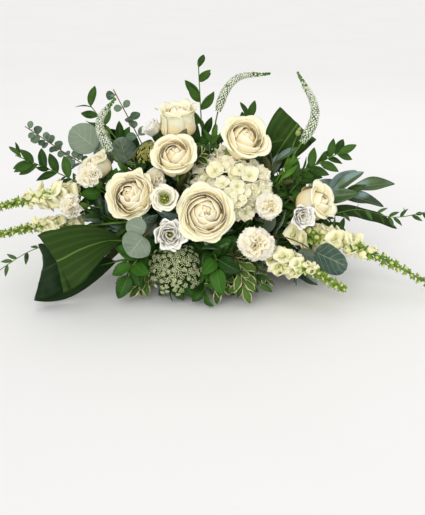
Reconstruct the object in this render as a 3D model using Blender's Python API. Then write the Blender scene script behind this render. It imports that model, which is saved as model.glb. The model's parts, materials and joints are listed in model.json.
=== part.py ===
"""Side table flower arrangement: cream roses, a hydrangea and mixed foliage in wet foam in a low bowl.

Metres, +Z up, with the front towards -Y. The origin is the centre of the bowl's foot. Tables of places
and sizes are in millimetres. Each bloom, spike or leafy stem is one object, cut at its lower end and
standing in its own hole in the foam.
"""

import math
import random
from dataclasses import dataclass, replace

import bmesh
import bpy
import numpy as np

MM = 0.001
WELD = 0.000001

BOWL_RIM_RADIUS = 88.0
BOWL_FOOT_RADIUS = 58.0
BOWL_HEIGHT = 46.0
BOWL_WALL = 3.4
BOWL_FLOOR = 5.0
BOWL_SIDES = 18

FOAM_HALF_X = 68.0
FOAM_HALF_Y = 56.0
FOAM_CHAMFER = 30.0
FOAM_TOP = 90.0
FOAM_TRIM = 13.0
FOAM_FLOOR_GAP = 0.3

HOLE_DEPTH = 24.0
HOLE_CLEARANCE = 0.35
HOLE_END_GAP = 0.4
STEM_FOCUS_HEIGHT = 40.0
FOCUS_SHARE = (0.34, 0.3, 0.0)
FOCUS_HALF_X = 44.0
FOCUS_HALF_Y = 32.0
RIM_CLEAR_RADIUS = 100.0
RIM_CLEAR_HEIGHT = 57.0

SAMPLE_STEP = 3.2
LEAF_GAP = 2.0
STEM_GAP = 1.3
FLOOR_GAP = 5.0
PETAL_THICKNESS = 0.9
LEAF_THICKNESS = 0.8
RIBBON_THICKNESS = 1.0
LONG_STALK = 8.0
STEM_TAPER = 0.72
TWO_FIFTHS_TURN = 2.399963


def unit(vector):
    return np.asarray(vector, float) / np.linalg.norm(vector)


def frame_of(along, normal):
    """Rows are a piece's own x, y and z directions, with x along it and z as near normal as can be."""
    x = unit(along)
    z = np.asarray(normal, float) - x * np.dot(normal, x)
    if np.linalg.norm(z) < 1e-6:
        z = np.cross(x, (0.31, 0.87, 0.38))
    z = unit(z)
    return np.array([x, np.cross(z, x), z])


def turned_about(vector, axis, angle):
    """vector turned about axis by angle."""
    axis = unit(axis)
    vector = np.asarray(vector, float)
    return (
        vector * math.cos(angle)
        + np.cross(axis, vector) * math.sin(angle)
        + axis * np.dot(axis, vector) * (1 - math.cos(angle))
    )


def flowing_line(points, first, last):
    """A smooth line through points, leaving along first and arriving along last, as a fine polyline."""
    points = [np.asarray(p, float) for p in points]
    line = [points[0]]
    for i in range(len(points) - 1):
        a, b = points[i], points[i + 1]
        reach = np.linalg.norm(b - a)
        leave = first if i == 0 else unit(b - points[i - 1])
        arrive = last if i == len(points) - 2 else unit(points[i + 2] - a)
        steps = max(2, round(reach / SAMPLE_STEP))
        for k in range(1, steps + 1):
            t = k / steps
            line.append(
                a * (2 * t**3 - 3 * t**2 + 1)
                + b * (3 * t**2 - 2 * t**3)
                + leave * reach * (t**3 - 2 * t**2 + t)
                + arrive * reach * (t**3 - t**2)
            )
    return np.array(line)


class Space:
    """What is already placed, so that a new stem or leaf is turned or bent until it is clear."""

    def __init__(self):
        self.points = np.zeros((0, 3))
        self.radii = np.zeros(0)
        self.owners = np.zeros(0, int)
        self.bodies = []

    def add_body(self, centre, axis, side, half, owner):
        """A bloom or a floret: an ellipsoid with its half length along axis."""
        self.bodies.append((np.array(centre, float), unit(axis), side, half, owner))

    def add_points(self, points, radius, owner):
        self.points = np.concatenate([self.points, points])
        self.radii = np.concatenate([self.radii, np.full(len(points), radius)])
        self.owners = np.concatenate([self.owners, np.full(len(points), owner)])

    def meets_body(self, points, gap, owner):
        for centre, axis, side, half, of in self.bodies:
            if of == owner:
                continue
            away = points - centre
            along = away @ axis
            across = np.sqrt(np.maximum((away**2).sum(1) - along**2, 0))
            if (((across / (side + gap)) ** 2 + (along / (half + gap)) ** 2) < 1).any():
                return True
        return False

    def meets_points(self, points, gap, owner, own_too):
        low, high = points.min(0) - 9, points.max(0) + 9
        near = ((self.points > low) & (self.points < high)).all(1)
        if not own_too:
            near &= self.owners != owner
        if not near.any():
            return False
        apart = np.linalg.norm(points[:, None] - self.points[None, near], axis=2)
        return bool((apart < gap + self.radii[near]).any())

    def clear(self, points, gap, owner, own_too=True):
        """Whether points keep gap from all that is placed, the bowl, the foam and the table."""
        if (points[:, 2] < FLOOR_GAP).any() or in_bowl(points, gap) or in_foam(points, gap):
            return False
        if self.meets_body(points, gap, owner):
            return False
        return not self.meets_points(points, gap, owner, own_too)


def in_bowl(points, gap):
    around = np.hypot(points[:, 0], points[:, 1]) < BOWL_RIM_RADIUS + 2 + gap
    return bool((around & (points[:, 2] < BOWL_HEIGHT + 2 + gap)).any())


def in_foam(points, gap):
    across = (np.abs(points[:, 0]) < FOAM_HALF_X + gap) & (np.abs(points[:, 1]) < FOAM_HALF_Y + gap)
    return bool((across & (points[:, 2] < FOAM_TOP + gap)).any())


def foam_exit(start, direction):
    """How far along direction from start the foam's surface lies."""
    reach = []
    for axis, side in ((0, FOAM_HALF_X), (1, FOAM_HALF_Y)):
        if abs(direction[axis]) > 1e-6:
            reach.append((math.copysign(side, direction[axis]) - start[axis]) / direction[axis])
    if direction[2] > 1e-6:
        reach.append((FOAM_TOP - start[2]) / direction[2])
    corner = FOAM_HALF_X + FOAM_HALF_Y - FOAM_CHAMFER
    lean = abs(direction[0]) + abs(direction[1])
    here = sum(math.copysign(start[i], start[i] * direction[i]) for i in (0, 1))
    reach.append((corner - here) / max(lean, 1e-6))
    return min(r for r in reach if r > 0)


@dataclass(frozen=True)
class Cutting:
    """One cut stem with what grows on it. way leads from the foam to its head or tip."""

    name: str
    kind: str
    way: tuple
    facing: tuple = (0, -0.9, 0.4)
    size: float = 30.0
    count: int = 6
    start: float = 0.4
    thickness: float = 1.7
    depth: float = 1.0

    @property
    def tip(self):
        return np.array(self.way[-1], float)

    @property
    def head_base(self):
        """Where a bloom sits on its stem."""
        return self.tip - unit(self.facing) * BLOOMS[self.kind].back * self.size * self.depth


@dataclass(frozen=True)
class BloomForm:
    """Depth of a bloom behind and before its centre, as shares of its radius."""

    back: float
    front: float


BLOOMS = {
    "rose": BloomForm(0.72, 0.42),
    "hydrangea": BloomForm(0.5, 0.66),
    "carnation": BloomForm(0.62, 0.50),
    "lisianthus": BloomForm(0.75, 0.4),
    "lace": BloomForm(0.55, 0.4),
}
ROSE_LAYERS = (
    (3, 0.72, 0.24, 1.08, 1.10, 0.08, 2),
    (4, 1.00, 0.00, 0.94, 0.88, 0.16, 3),
)
CARNATION_PROFILE = (
    (0.24, 0.24, 0.0, 0), (0.98, 0.56, 0.14, 0), (0.66, 0.66, 0.05, 0), (0.84, 0.86, 0.14, 1),
    (0.46, 0.80, 0.05, 1), (0.60, 1.02, 0.16, 0), (0.24, 0.90, 0.05, 0), (0.28, 1.12, 0.2, 1),
)
LISIANTHUS_PROFILE = (
    (0.14, -0.06, 0.0), (0.46, 0.22, 0.0), (0.74, 0.74, 0.05), (0.96, 1.04, 0.10), (0.88, 1.06, 0.10),
    (0.58, 0.66, 0.04), (0.30, 0.24, 0.0),
)
ROSE_BUD = ((0, -0.12), (0.16, -0.04), (0.32, 0.5), (0.24, 1.14), (0, 1.04))
PISTIL = ((0, 0.05), (0.14, 0.12), (0.10, 0.72), (0, 0.9))
CLOSED_BUD = ((0, -0.9), (0.42, -0.55), (0.62, 0.4), (0, 1.5))
OPEN_FLORET = (0.62, 1.2, 0.16)
CLOSED_FLORET = (0.36, 1.0, -0.5)
HEAD_SIDES = 10
HYDRANGEA_SPREAD = 1.64
HYDRANGEA_FLORET = 0.21
SPIKE_RINGS = 17
SPIKE_SIDES = 5
LEAF_GRIDS = {
    "ruscus": (2, 2),
    "gunnii": (2, 2),
    "silver_dollar": (3, 2),
    "salal": (2, 2),
    "pittosporum": (2, 2),
    "magnolia": (2, 2),
    "jasmine": (1, 2),
}


@dataclass(frozen=True)
class LeafForm:
    """A leaf blade: its outline, how far it bends back along its length, and how its halves fold up."""

    length: float
    width: float
    peak: float = 0.5
    blunt: float = 0.8
    bend: float = 0.5
    fold: float = 0.25
    stalk: float = 0.0

    def scaled(self, share):
        return replace(
            self, length=self.length * share, width=self.width * share, stalk=self.stalk * share
        )

    def surface(self, s, t):
        """Points of the blade, x along it and z up: s runs to its tip, and t from -1 to 1 across."""
        s, t = np.broadcast_arrays(np.asarray(s, float), np.asarray(t, float))
        power = math.log(0.5) / math.log(self.peak)
        half = 0.5 * self.width * np.sin(np.pi * np.clip(s, 1e-4, 1 - 1e-4) ** power) ** self.blunt
        bend = self.bend if abs(self.bend) > 1e-3 else 1e-3
        x = self.length * np.sin(bend * s) / bend
        z = -self.length * (1 - np.cos(bend * s)) / bend
        rise = self.fold * half * np.abs(t)
        return np.stack([x + rise * np.sin(bend * s), t * half, z + rise * np.cos(bend * s)], -1)


@dataclass(frozen=True)
class Leaf:
    """A leaf blade at its place. base is where its stalk leaves the stem."""

    form: LeafForm
    base: np.ndarray
    axes: np.ndarray

    def place(self, points):
        """Points of the leaf's own frame at their place."""
        return self.base + (points + (self.form.stalk, 0, 0)) @ self.axes

    def samples(self, first=0.0):
        along = max(4, round(self.form.length / SAMPLE_STEP))
        over = max(2, round(self.form.width / SAMPLE_STEP))
        s = np.linspace(first, 1, along + 1)[:, None]
        t = np.linspace(-1, 1, over + 1)[None, :]
        return self.place(self.form.surface(s, t).reshape(-1, 3))


@dataclass(frozen=True)
class Habit:
    """How a kind of foliage carries its leaves: in pairs or one by one, and how wide they stand out."""

    form: LeafForm
    pairs: bool
    spread: float
    quarter_turns: bool = False
    taper: float = 0.25
    end_leaf: bool = True


HABITS = {
    "ruscus": Habit(LeafForm(46, 19, 0.45, 0.85, 0.4, 0.25), False, 0.75),
    "gunnii": Habit(LeafForm(20, 17, 0.52, 0.55, 0.3, 0.2, 2.5), True, 1.15, True, 0.5),
    "silver_dollar": Habit(LeafForm(56, 54, 0.5, 0.52, 0.2, 0.1, 10.0), False, 0.8, False, 0.0),
    "salal": Habit(LeafForm(54, 33, 0.42, 0.7, 0.55, 0.25, 4.0), False, 0.8, False, 0.15),
    "pittosporum": Habit(LeafForm(36, 16, 0.6, 0.75, 0.5, 0.2), False, 0.75, True, 0.1),
    "magnolia": Habit(LeafForm(96, 31, 0.52, 0.85, 0.35, 0.45, 6.0), False, 0.5, False, 0.1),
    "jasmine": Habit(LeafForm(24, 8, 0.42, 0.9, 0.3, 0.3), False, 0.75, False, 0.1),
    "veronica": Habit(LeafForm(40, 11, 0.4, 0.9, 0.5, 0.3), True, 0.55, True, 0.2, False),
}


def rose_cutting(name, way, facing, size, depth=1.0):
    return Cutting(name, "rose", way, facing, size, thickness=2.6, depth=depth)


CUTTINGS = (
    rose_cutting("rose_front", ((-11, -146, 160),), (0.06, -0.93, 0.36), 51),
    rose_cutting("rose_middle", ((-64, -98, 248),), (-0.12, -0.72, 0.68), 42),
    rose_cutting("rose_top", ((-61, -20, 298),), (-0.04, -0.22, 0.97), 37, 1.4),
    rose_cutting("rose_right", ((40, 12, 160), (48, -2, 222), (58, -68, 271)), (0.3, -0.72, 0.62), 46),
    rose_cutting("rose_left", ((-138, -114, 182),), (-0.22, -0.85, 0.46), 45),
    rose_cutting("rose_far_right", ((186, -64, 154),), (0.72, -0.56, 0.42), 39, 1.3),
    rose_cutting("rose_far_left", ((-208, -22, 212),), (-0.5, -0.24, 0.83), 32, 1.1),
    Cutting("hydrangea", "hydrangea", ((31, -64, 173),), (0.14, -0.84, 0.52), 62, 33, thickness=3.2),
    Cutting("carnation_high_left", "carnation", ((-206, -78, 202),), (-0.5, -0.5, 0.7), 27),
    Cutting("carnation_low_left", "carnation", ((-236, -92, 156),), (-0.75, -0.6, 0.2), 26),
    Cutting("carnation_middle", "carnation", ((-98, -74, 196),), (-0.05, -0.72, 0.7), 23),
    Cutting("carnation_right", "carnation", ((74, -70, 112), (93, -120, 164)), (0.22, -0.93, 0.28), 27),
    Cutting("carnation_low_right", "carnation", ((72, -142, 106),), (0.1, -0.98, 0.15), 36),
    Cutting("lisianthus_open", "lisianthus", ((-79, -136, 182),), (0.02, -0.93, 0.36), 22),
    Cutting("lisianthus_front", "lisianthus", ((-70, -146, 122),), (0.1, -0.95, 0.3), 26),
    Cutting("lisianthus_right", "lisianthus", ((152, -112, 143),), (0.2, -0.93, 0.1), 21),
    Cutting("lisianthus_top", "lisianthus", ((-108, -8, 275),), (-0.6, -0.3, 0.7), 18),
    Cutting("bud_right", "bud", ((124, -28, 205), (149, -28, 269)), size=8, thickness=1.2),
    Cutting("bud_left", "bud", ((-130, 0, 190), (-190, 4, 262)), size=8, thickness=1.2),
    Cutting(
        "snapdragon_upper_left", "snapdragon",
        ((-150, -40, 140), (-236, -56, 166), (-300, -80, 166), (-376, -92, 150)),
        size=22, count=10, start=0.5, thickness=2.2,
    ),
    Cutting(
        "snapdragon_lower_left", "snapdragon",
        ((-136, -62, 100), (-232, -70, 112), (-300, -92, 118), (-372, -102, 106)),
        size=20, count=10, start=0.5, thickness=2.2,
    ),
    Cutting(
        "snapdragon_front_right", "snapdragon", ((100, -108, 78), (150, -148, 66), (218, -172, 36)),
        size=22, count=10, start=0.25, thickness=2.2,
    ),
    Cutting(
        "snapdragon_long_right", "snapdragon", ((126, -72, 100), (240, -100, 86), (376, -126, 24)),
        size=24, count=14, start=0.24, thickness=2.2,
    ),
    Cutting(
        "veronica_left", "veronica",
        ((-122, -36, 160), (-161, -54, 222), (-192, -58, 290), (-164, -50, 334)),
        size=7.2, start=0.5, thickness=1.5,
    ),
    Cutting(
        "veronica_middle", "veronica", ((0, 8, 180), (7, -10, 292), (38, -20, 360), (100, -20, 371)),
        size=6.8, start=0.5, thickness=1.5,
    ),
    Cutting(
        "veronica_right", "veronica", ((98, -16, 160), (142, -36, 232), (176, -38, 305), (145, -25, 375)),
        size=7.6, start=0.46, thickness=1.5,
    ),
    Cutting("lace_front", "lace", ((-63, -146, 66),), (-0.02, -0.84, 0.54), 50, 19),
    Cutting("lace_back", "lace", ((-112, -42, 240),), (-0.35, -0.55, 0.76), 26, 9),
    Cutting(
        "gunnii_left", "gunnii", ((-130, 12, 148), (-236, 14, 204), (-326, -26, 280)),
        (0, -0.8, 0.6), 1.0, 6, 0.52, 1.3,
    ),
    Cutting(
        "gunnii_top", "gunnii", ((-95, 14, 170), (-126, 10, 240), (-174, 4, 340)),
        (0, -0.9, 0.3), 1.15, 6, 0.5, 1.3,
    ),
    Cutting(
        "silver_dollar_left", "silver_dollar", ((-120, 24, 160), (-176, 24, 208), (-206, 22, 226)),
        (0, -0.96, 0.2), 1.1, 3, 0.68, 1.5,
    ),
    Cutting(
        "silver_dollar_front", "silver_dollar", ((-92, -104, 112), (-104, -148, 128), (-110, -162, 126)),
        (0, -0.96, 0.25), 0.95, 2, 0.6, 1.2,
    ),
    Cutting(
        "silver_dollar_right", "silver_dollar", ((112, -80, 94), (148, -104, 94), (168, -124, 86)),
        (0, -0.94, 0.3), 1.25, 3, 0.5, 1.4,
    ),
    Cutting(
        "ruscus_left", "ruscus", ((-140, -20, 126), (-244, -36, 186), (-338, -58, 236)),
        (0, -0.8, 0.6), 1.0, 8, 0.52, 1.3,
    ),
    Cutting(
        "ruscus_high_left", "ruscus", ((-100, 34, 160), (-158, 30, 226), (-222, 26, 312)),
        (0, -0.95, 0.2), 1.0, 8, 0.5, 1.3,
    ),
    Cutting(
        "ruscus_top", "ruscus", ((-14, 16, 180), (-20, 18, 280), (-25, 20, 386)),
        (0, -0.95, 0.1), 1.0, 7, 0.5, 1.3,
    ),
    Cutting(
        "ruscus_right", "ruscus", ((110, -6, 150), (170, -14, 200), (228, -20, 234)),
        (0, -0.9, 0.4), 1.0, 8, 0.45, 1.3,
    ),
    Cutting("ruscus_back", "ruscus", ((40, 60, 190), (70, 80, 280)), (0.1, 0.9, 0.3), 1.0, 6, 0.3, 1.3),
    Cutting(
        "magnolia_right", "magnolia", ((120, 4, 118), (190, 6, 140), (246, 4, 156)),
        (0, -0.55, 0.83), 1.0, 7, 0.4, 2.0,
    ),
    Cutting(
        "salal_front_left", "salal", ((-98, -92, 74), (-128, -128, 70), (-140, -150, 50)),
        (0, -0.85, 0.5), 0.9, 6, 0.4, 1.4,
    ),
    Cutting(
        "salal_front", "salal", ((0, -106, 78), (6, -140, 80), (6, -158, 66)),
        (0, -0.9, 0.45), 0.95, 6, 0.4, 1.4,
    ),
    Cutting(
        "salal_right", "salal", ((52, -84, 108), (60, -116, 132)),
        (0, -0.9, 0.4), 1.0, 4, 0.35, 1.4,
    ),
    Cutting(
        "salal_back_left", "salal", ((-80, 70, 104), (-150, 92, 112)),
        (-0.3, 0.7, 0.6), 1.15, 5, 0.3, 1.4,
    ),
    Cutting("salal_back", "salal", ((4, 92, 84), (10, 124, 70)), (0.1, 0.9, 0.45), 1.15, 5, 0.3, 1.4),
    Cutting(
        "salal_back_right", "salal", ((90, 60, 110), (150, 86, 120)),
        (0.3, 0.75, 0.5), 1.1, 5, 0.3, 1.4,
    ),
    Cutting(
        "pittosporum_front", "pittosporum", ((36, -104, 72), (46, -140, 56), (52, -158, 34)),
        (0, -0.9, 0.45), 1.0, 9, 0.4, 1.4,
    ),
    Cutting(
        "pittosporum_low", "pittosporum", ((14, -100, 64), (14, -130, 48), (10, -148, 30)),
        (0, -0.9, 0.45), 1.0, 8, 0.4, 1.3,
    ),
    Cutting(
        "pittosporum_left", "pittosporum", ((-86, -86, 58), (-106, -114, 42), (-124, -140, 28)),
        (0, -0.85, 0.5), 0.9, 8, 0.5, 1.3,
    ),
    Cutting(
        "pittosporum_middle", "pittosporum", ((-32, -20, 170), (-25, -56, 234)),
        (0, -0.8, 0.6), 0.9, 8, 0.45, 1.3,
    ),
    Cutting(
        "jasmine_left", "jasmine", ((-140, -54, 78), (-220, -74, 84), (-300, -106, 84), (-372, -132, 46)),
        (0, -0.8, 0.6), 1.0, 10, 0.5, 1.0,
    ),
    Cutting(
        "jasmine_right", "jasmine", ((140, -30, 104), (250, -44, 134), (318, -56, 124), (378, -60, 136)),
        (0, -0.8, 0.6), 1.0, 11, 0.4, 1.0,
    ),
)


@dataclass(frozen=True)
class Ribbon:
    """A strap leaf. midrib is its line after the stalk, and across its cross direction along the way."""

    name: str
    stalk: tuple
    midrib: tuple
    across: tuple
    width: float
    peak: float = 0.5

    def grid(self, rows, cols):
        """Rows of points on the leaf, from the stalk to the tip."""
        points = np.array(self.midrib, float)
        line = flowing_line(points, unit(points[1] - points[0]), unit(points[-1] - points[-2]))
        steps = np.linalg.norm(np.diff(line, axis=0), axis=1)
        along = np.concatenate([[0], np.cumsum(steps)]) / steps.sum()
        stations = np.linspace(0, 1, rows + 1)
        centre = np.stack([np.interp(stations, along, line[:, i]) for i in range(3)], 1)
        ahead = np.gradient(centre, axis=0)
        power = math.log(0.5) / math.log(self.peak)
        ends = np.linspace(0, 1, len(self.across))
        side = np.stack([np.interp(stations, ends, [a[i] for a in self.across]) for i in range(3)], 1)
        found = []
        for point, way, cross, s in zip(centre, ahead, side, stations):
            cross = unit(cross - unit(way) * np.dot(cross, unit(way)))
            half = 0.5 * self.width * math.sin(math.pi * min(max(s, 0.012), 0.988) ** power) ** 0.7
            up = np.cross(unit(way), cross)
            offsets = np.linspace(-1, 1, cols + 1) if 0 < s < 1 else np.array([0.0])
            found.append(np.array([point + half * (cross * o + up * 0.1 * abs(o)) for o in offsets]))
        return found


RIBBONS = (
    Ribbon(
        "aspidistra_left", ((-105, -84, 94),),
        (
            (-152, -112, 100), (-179, -138, 108), (-215, -166, 104), (-243, -182, 93), (-252, -184, 90),
            (-246, -172, 88), (-217, -157, 92), (-192, -143, 93),
        ),
        ((0.3, -0.1, -1), (0.36, -0.05, -1), (0.38, 0, -1), (0.38, 0, -1), (0.3, 0, -1)), 104, 0.62,
    ),
    Ribbon(
        "aspidistra_low_left", ((-96, -72, 64),),
        (
            (-166, -94, 56), (-205, -110, 52), (-253, -128, 51), (-278, -139, 54), (-285, -146, 58),
            (-274, -153, 66), (-251, -151, 79), (-234, -144, 86),
        ),
        ((-0.1, -0.25, -1), (-0.2, -0.25, -1), (-0.26, -0.3, -1), (-0.26, -0.2, -1), (-0.1, 0, -1)),
        100, 0.6,
    ),
    Ribbon(
        "aspidistra_right", ((72, 16, 140),),
        (
            (96, 14, 182), (122, 18, 230), (146, 22, 266), (154, 28, 274),
            (150, 40, 262), (132, 42, 226), (112, 38, 190),
        ),
        ((1, 0.1, -0.3), (1, 0.0, -1), (1, 0.0, -1), (1, 0.1, -0.5)), 88, 0.5,
    ),
    Ribbon(
        "aspidistra_back_left", ((-78, 20, 130),),
        ((-112, 40, 168), (-150, 50, 215), (-190, 58, 258)),
        ((0.7, 0.2, 0.6), (0.7, 0.2, 0.6)), 44, 0.5,
    ),
    Ribbon(
        "aspidistra_far_right", ((100, -22, 92),),
        ((150, -18, 114), (220, -20, 128), (290, -26, 118), (330, -30, 94)),
        ((0.1, -0.75, 0.6), (0.1, -0.75, 0.6)), 50, 0.55,
    ),
    Ribbon(
        "aspidistra_back", ((-20, 70, 120),),
        (
            (-30, 92, 160), (-60, 108, 220), (-80, 112, 262), (-84, 122, 264),
            (-76, 128, 240), (-56, 126, 190),
        ),
        ((1, 0.1, 0.2), (1, 0.1, 0.4), (1, 0.1, 0.4)), 90, 0.5,
    ),
)


@dataclass
class Stem:
    """The line of a cut stem, from its lower end in its hole past entry, at the surface of the foam."""

    inner: np.ndarray
    entry: np.ndarray
    line: np.ndarray
    radius: float


class Layout:
    """Works out where every stem and leaf lies, each clear of the others, in the order of the tables."""

    LEAD_OUT = 6.0
    STEM_TRIES = 150
    LEAF_TRIES = 26

    def __init__(self):
        self.space = Space()
        self.stems = {}
        self.leaves = {}
        self.owner = {c.name: i for i, c in enumerate((*CUTTINGS, *RIBBONS))}
        for cutting in CUTTINGS:
            self.reserve(cutting)
        for ribbon in RIBBONS:
            self.lay_ribbon(ribbon)
        for ribbon in RIBBONS:
            ahead = unit(np.subtract(ribbon.midrib[1], ribbon.midrib[0]))
            self.route(ribbon.name, (*ribbon.stalk, ribbon.midrib[0]), ahead, 2.4)
        for cutting in CUTTINGS:
            self.route(cutting.name, cutting.way, self.arrival(cutting), cutting.thickness)
        for cutting in CUTTINGS:
            if cutting.kind in HABITS:
                self.leaves[cutting.name] = self.set_leaves(cutting)

    def reserve(self, cutting):
        """Keeps the room of a bloom, or of the florets along a spike."""
        owner = self.owner[cutting.name]
        if cutting.kind in BLOOMS:
            form, facing = BLOOMS[cutting.kind], unit(cutting.facing)
            half = (form.back + form.front) * cutting.size / 2
            centre = cutting.tip + facing * (form.front - form.back) * cutting.size / 2
            self.space.add_body(centre, facing, cutting.size * 1.04, half * 1.14, owner)
        elif cutting.kind in ("snapdragon", "veronica"):
            wide = 1.3 if cutting.kind == "snapdragon" else 1.4
            for share, point in spike_stations(cutting, 14):
                size = cutting.size * wide * spike_swell(share) + 1
                self.space.add_body(point, (0, 0, 1), size, size, owner)
        elif cutting.kind == "bud":
            self.space.add_body(cutting.tip, (0, 0, 1), cutting.size * 0.8, cutting.size * 1.4, owner)

    def lay_ribbon(self, ribbon):
        for row in ribbon.grid(70, 24):
            self.space.add_points(row, 1.2, self.owner[ribbon.name])

    def arrival(self, cutting):
        if cutting.kind in BLOOMS:
            return unit(cutting.facing)
        if len(cutting.way) == 1:
            return unit(cutting.tip - (0, 0, STEM_FOCUS_HEIGHT))
        return unit(np.subtract(cutting.way[-1], cutting.way[-2]))

    def route(self, name, way, arrival, radius):
        """Finds a hole in the foam and a line from it along way that meets nothing."""
        owner, draw = self.owner[name], random.Random(name)
        cutting = next((c for c in CUTTINGS if c.name == name), None)
        end = np.array(way[-1], float)
        if cutting is not None and cutting.kind in BLOOMS:
            end = end - arrival * BLOOMS[cutting.kind].back * cutting.size * 0.9
        fixed = [np.array(p, float) for p in way[:-1]]
        for attempt in range(self.STEM_TRIES):
            loose = 0.28 * attempt
            stem = self.stem_line(end, fixed, arrival, radius, loose, draw)
            outside = stem.line[3:]
            hole = np.linspace(stem.inner, stem.line[2], 10)
            if self.space.meets_points(hole, radius + STEM_GAP, owner, False):
                continue
            if self.space.clear(outside, radius + STEM_GAP, owner, own_too=False):
                break
        else:
            raise ValueError(f"no clear way for {name}")
        self.space.add_points(hole, radius, owner)
        self.space.add_points(outside, radius, owner)
        self.stems[name] = stem

    def stem_line(self, end, fixed, arrival, radius, loose, draw):
        shake = [np.array([draw.gauss(0, 1) for _ in range(3)]) * loose for _ in range(3)]
        toward = fixed[0] if fixed else end - arrival * 0.35 * np.linalg.norm(end)
        toward = toward + shake[0]
        focus = toward * FOCUS_SHARE + (0, 0, STEM_FOCUS_HEIGHT) + shake[1] * (0.5, 0.5, 0.25)
        focus[0] = min(max(focus[0], -FOCUS_HALF_X), FOCUS_HALF_X)
        focus[1] = min(max(focus[1], -FOCUS_HALF_Y), FOCUS_HALF_Y)
        via = []
        around = math.hypot(toward[0], toward[1])
        rim = RIM_CLEAR_HEIGHT + 8 - focus[2]
        low = (toward[2] - focus[2]) * RIM_CLEAR_RADIUS < rim * max(around, 1)
        if around > BOWL_RIM_RADIUS * 0.8 and low:
            over = np.array([toward[0], toward[1], 0.0]) * (RIM_CLEAR_RADIUS / around)
            over[2] = RIM_CLEAR_HEIGHT + 4 + abs(shake[2][2])
            if around > RIM_CLEAR_RADIUS + 16:
                via.append(over)
            aim = over
        else:
            aim = toward
        direction = unit(aim - focus)
        reach = foam_exit(focus, direction)
        entry = focus + direction * reach
        if entry[2] < BOWL_HEIGHT + 5:
            entry[2] = BOWL_HEIGHT + 6 + abs(shake[2][2]) * 0.6
        if entry[2] > FOAM_TOP - 5 and abs(entry[2] - FOAM_TOP) > 1e-6:
            entry[2] = FOAM_TOP - 6
        inner = entry - direction * HOLE_DEPTH
        out = entry + direction * self.LEAD_OUT
        points = [out, *via, *[f + shake[2] * 0.5 for f in fixed[:1]], *fixed[1:], end]
        line = flowing_line(points, direction, arrival)
        return Stem(inner, entry, np.concatenate([[inner, entry], line]), radius)

    def set_leaves(self, cutting):
        """The leaves along a stem, each turned about until it is clear, and left out if it never is."""
        habit, stem = HABITS[cutting.kind], self.stems[cutting.name]
        owner, draw = self.owner[cutting.name], random.Random(cutting.name)
        spike = cutting.kind == "veronica"
        first, last = (0.28, cutting.start) if spike else (cutting.start, 0.97)
        size = 1.0 if spike else cutting.size
        number = 2 if spike else cutting.count
        made = []
        for i in range(number):
            share = first + (last - first) * i / max(number - 1, 1)
            point, ahead = along_line(stem.line, share)
            sides = (0, 1) if habit.pairs else (i % 2,)
            if habit.end_leaf and i == number - 1:
                sides = (2,)
            for side in sides:
                grown = habit.form.scaled(size * (1 - habit.taper * i / number))
                leaf = self.clear_leaf(cutting, habit, grown, point, ahead, side, i, draw, owner)
                if leaf is not None:
                    self.space.add_points(leaf.samples(0.1), 0.8, owner)
                    made.append(leaf)
        return made

    def clear_leaf(self, cutting, habit, form, point, ahead, side, step, draw, owner):
        for attempt in range(self.LEAF_TRIES):
            loose = 0.10 + 0.06 * attempt
            tilt, roll, open_out = (draw.gauss(0, loose) for _ in range(3))
            axes = frame_of(ahead, cutting.facing)
            around = math.pi * side + (math.pi / 2 if habit.quarter_turns and step % 2 else 0.0) + roll
            outward = turned_about(axes[1], ahead, around)
            spread = (habit.spread if side < 2 else 0.0) + open_out * 0.5
            direction = unit(ahead * math.cos(spread) + outward * math.sin(spread))
            normal = turned_about(np.asarray(cutting.facing, float), direction, tilt)
            leaf = Leaf(form.scaled(0.985**attempt), point, frame_of(direction, normal))
            alone = self.space.clear(leaf.samples(0.3), LEAF_GAP, owner)
            if alone and self.space.clear(leaf.samples(), LEAF_GAP, owner, own_too=False):
                return leaf
        return None


def along_line(line, share):
    """The point and the direction at a share of a polyline's length."""
    steps = np.linalg.norm(np.diff(line, axis=0), axis=1)
    along = np.concatenate([[0], np.cumsum(steps)]) / steps.sum()
    point = np.array([np.interp(share, along, line[:, i]) for i in range(3)])
    low = np.array([np.interp(max(share - 0.02, 0), along, line[:, i]) for i in range(3)])
    high = np.array([np.interp(min(share + 0.02, 1), along, line[:, i]) for i in range(3)])
    return point, unit(high - low)


def spike_stations(cutting, number):
    """Shares from 0 to 1 and points along the flowering part of a spike, read from its way alone."""
    ahead = unit(np.subtract(cutting.way[-1], cutting.way[-2]))
    line = flowing_line(cutting.way, unit(np.subtract(cutting.way[1], cutting.way[0])), ahead)
    for i in range(number):
        share = i / (number - 1)
        yield share, along_line(line, cutting.start + (1 - cutting.start) * share)[0]


def spike_swell(share):
    """Width of a spike at a share of its flowering length, 1 low down and less towards the tip."""
    return 1 - 0.72 * share**1.6


def stem_share(cutting, stem, share):
    """The share of a stem's whole line that lies at a share of its flowering part."""
    way = np.array(cutting.way, float)
    line = flowing_line(way, unit(way[1] - way[0]), unit(way[-1] - way[-2]))
    flowering = np.linalg.norm(np.diff(line, axis=0), axis=1).sum() * (1 - cutting.start)
    whole = np.linalg.norm(np.diff(stem.line, axis=0), axis=1).sum()
    return 1 - flowering / whole * (1 - share)


@dataclass(frozen=True)
class Floret:
    """A flower of a spike."""

    place: np.ndarray
    facing: np.ndarray
    size: float
    open: bool


def snapdragon_florets(cutting, stem):
    """The flowers of a spike, turned round its stem and smaller towards its tip."""
    draw = random.Random(cutting.name)
    for i in range(cutting.count):
        share = (i + 0.3) / cutting.count
        point, ahead = along_line(stem.line, stem_share(cutting, stem, share))
        around = i * TWO_FIFTHS_TURN + draw.uniform(-0.2, 0.2)
        outward = turned_about(frame_of(ahead, (0, -0.3, 1))[1], ahead, around)
        yield Floret(point, unit(outward + ahead * 0.55), cutting.size * spike_swell(share), share < 0.7)


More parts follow.
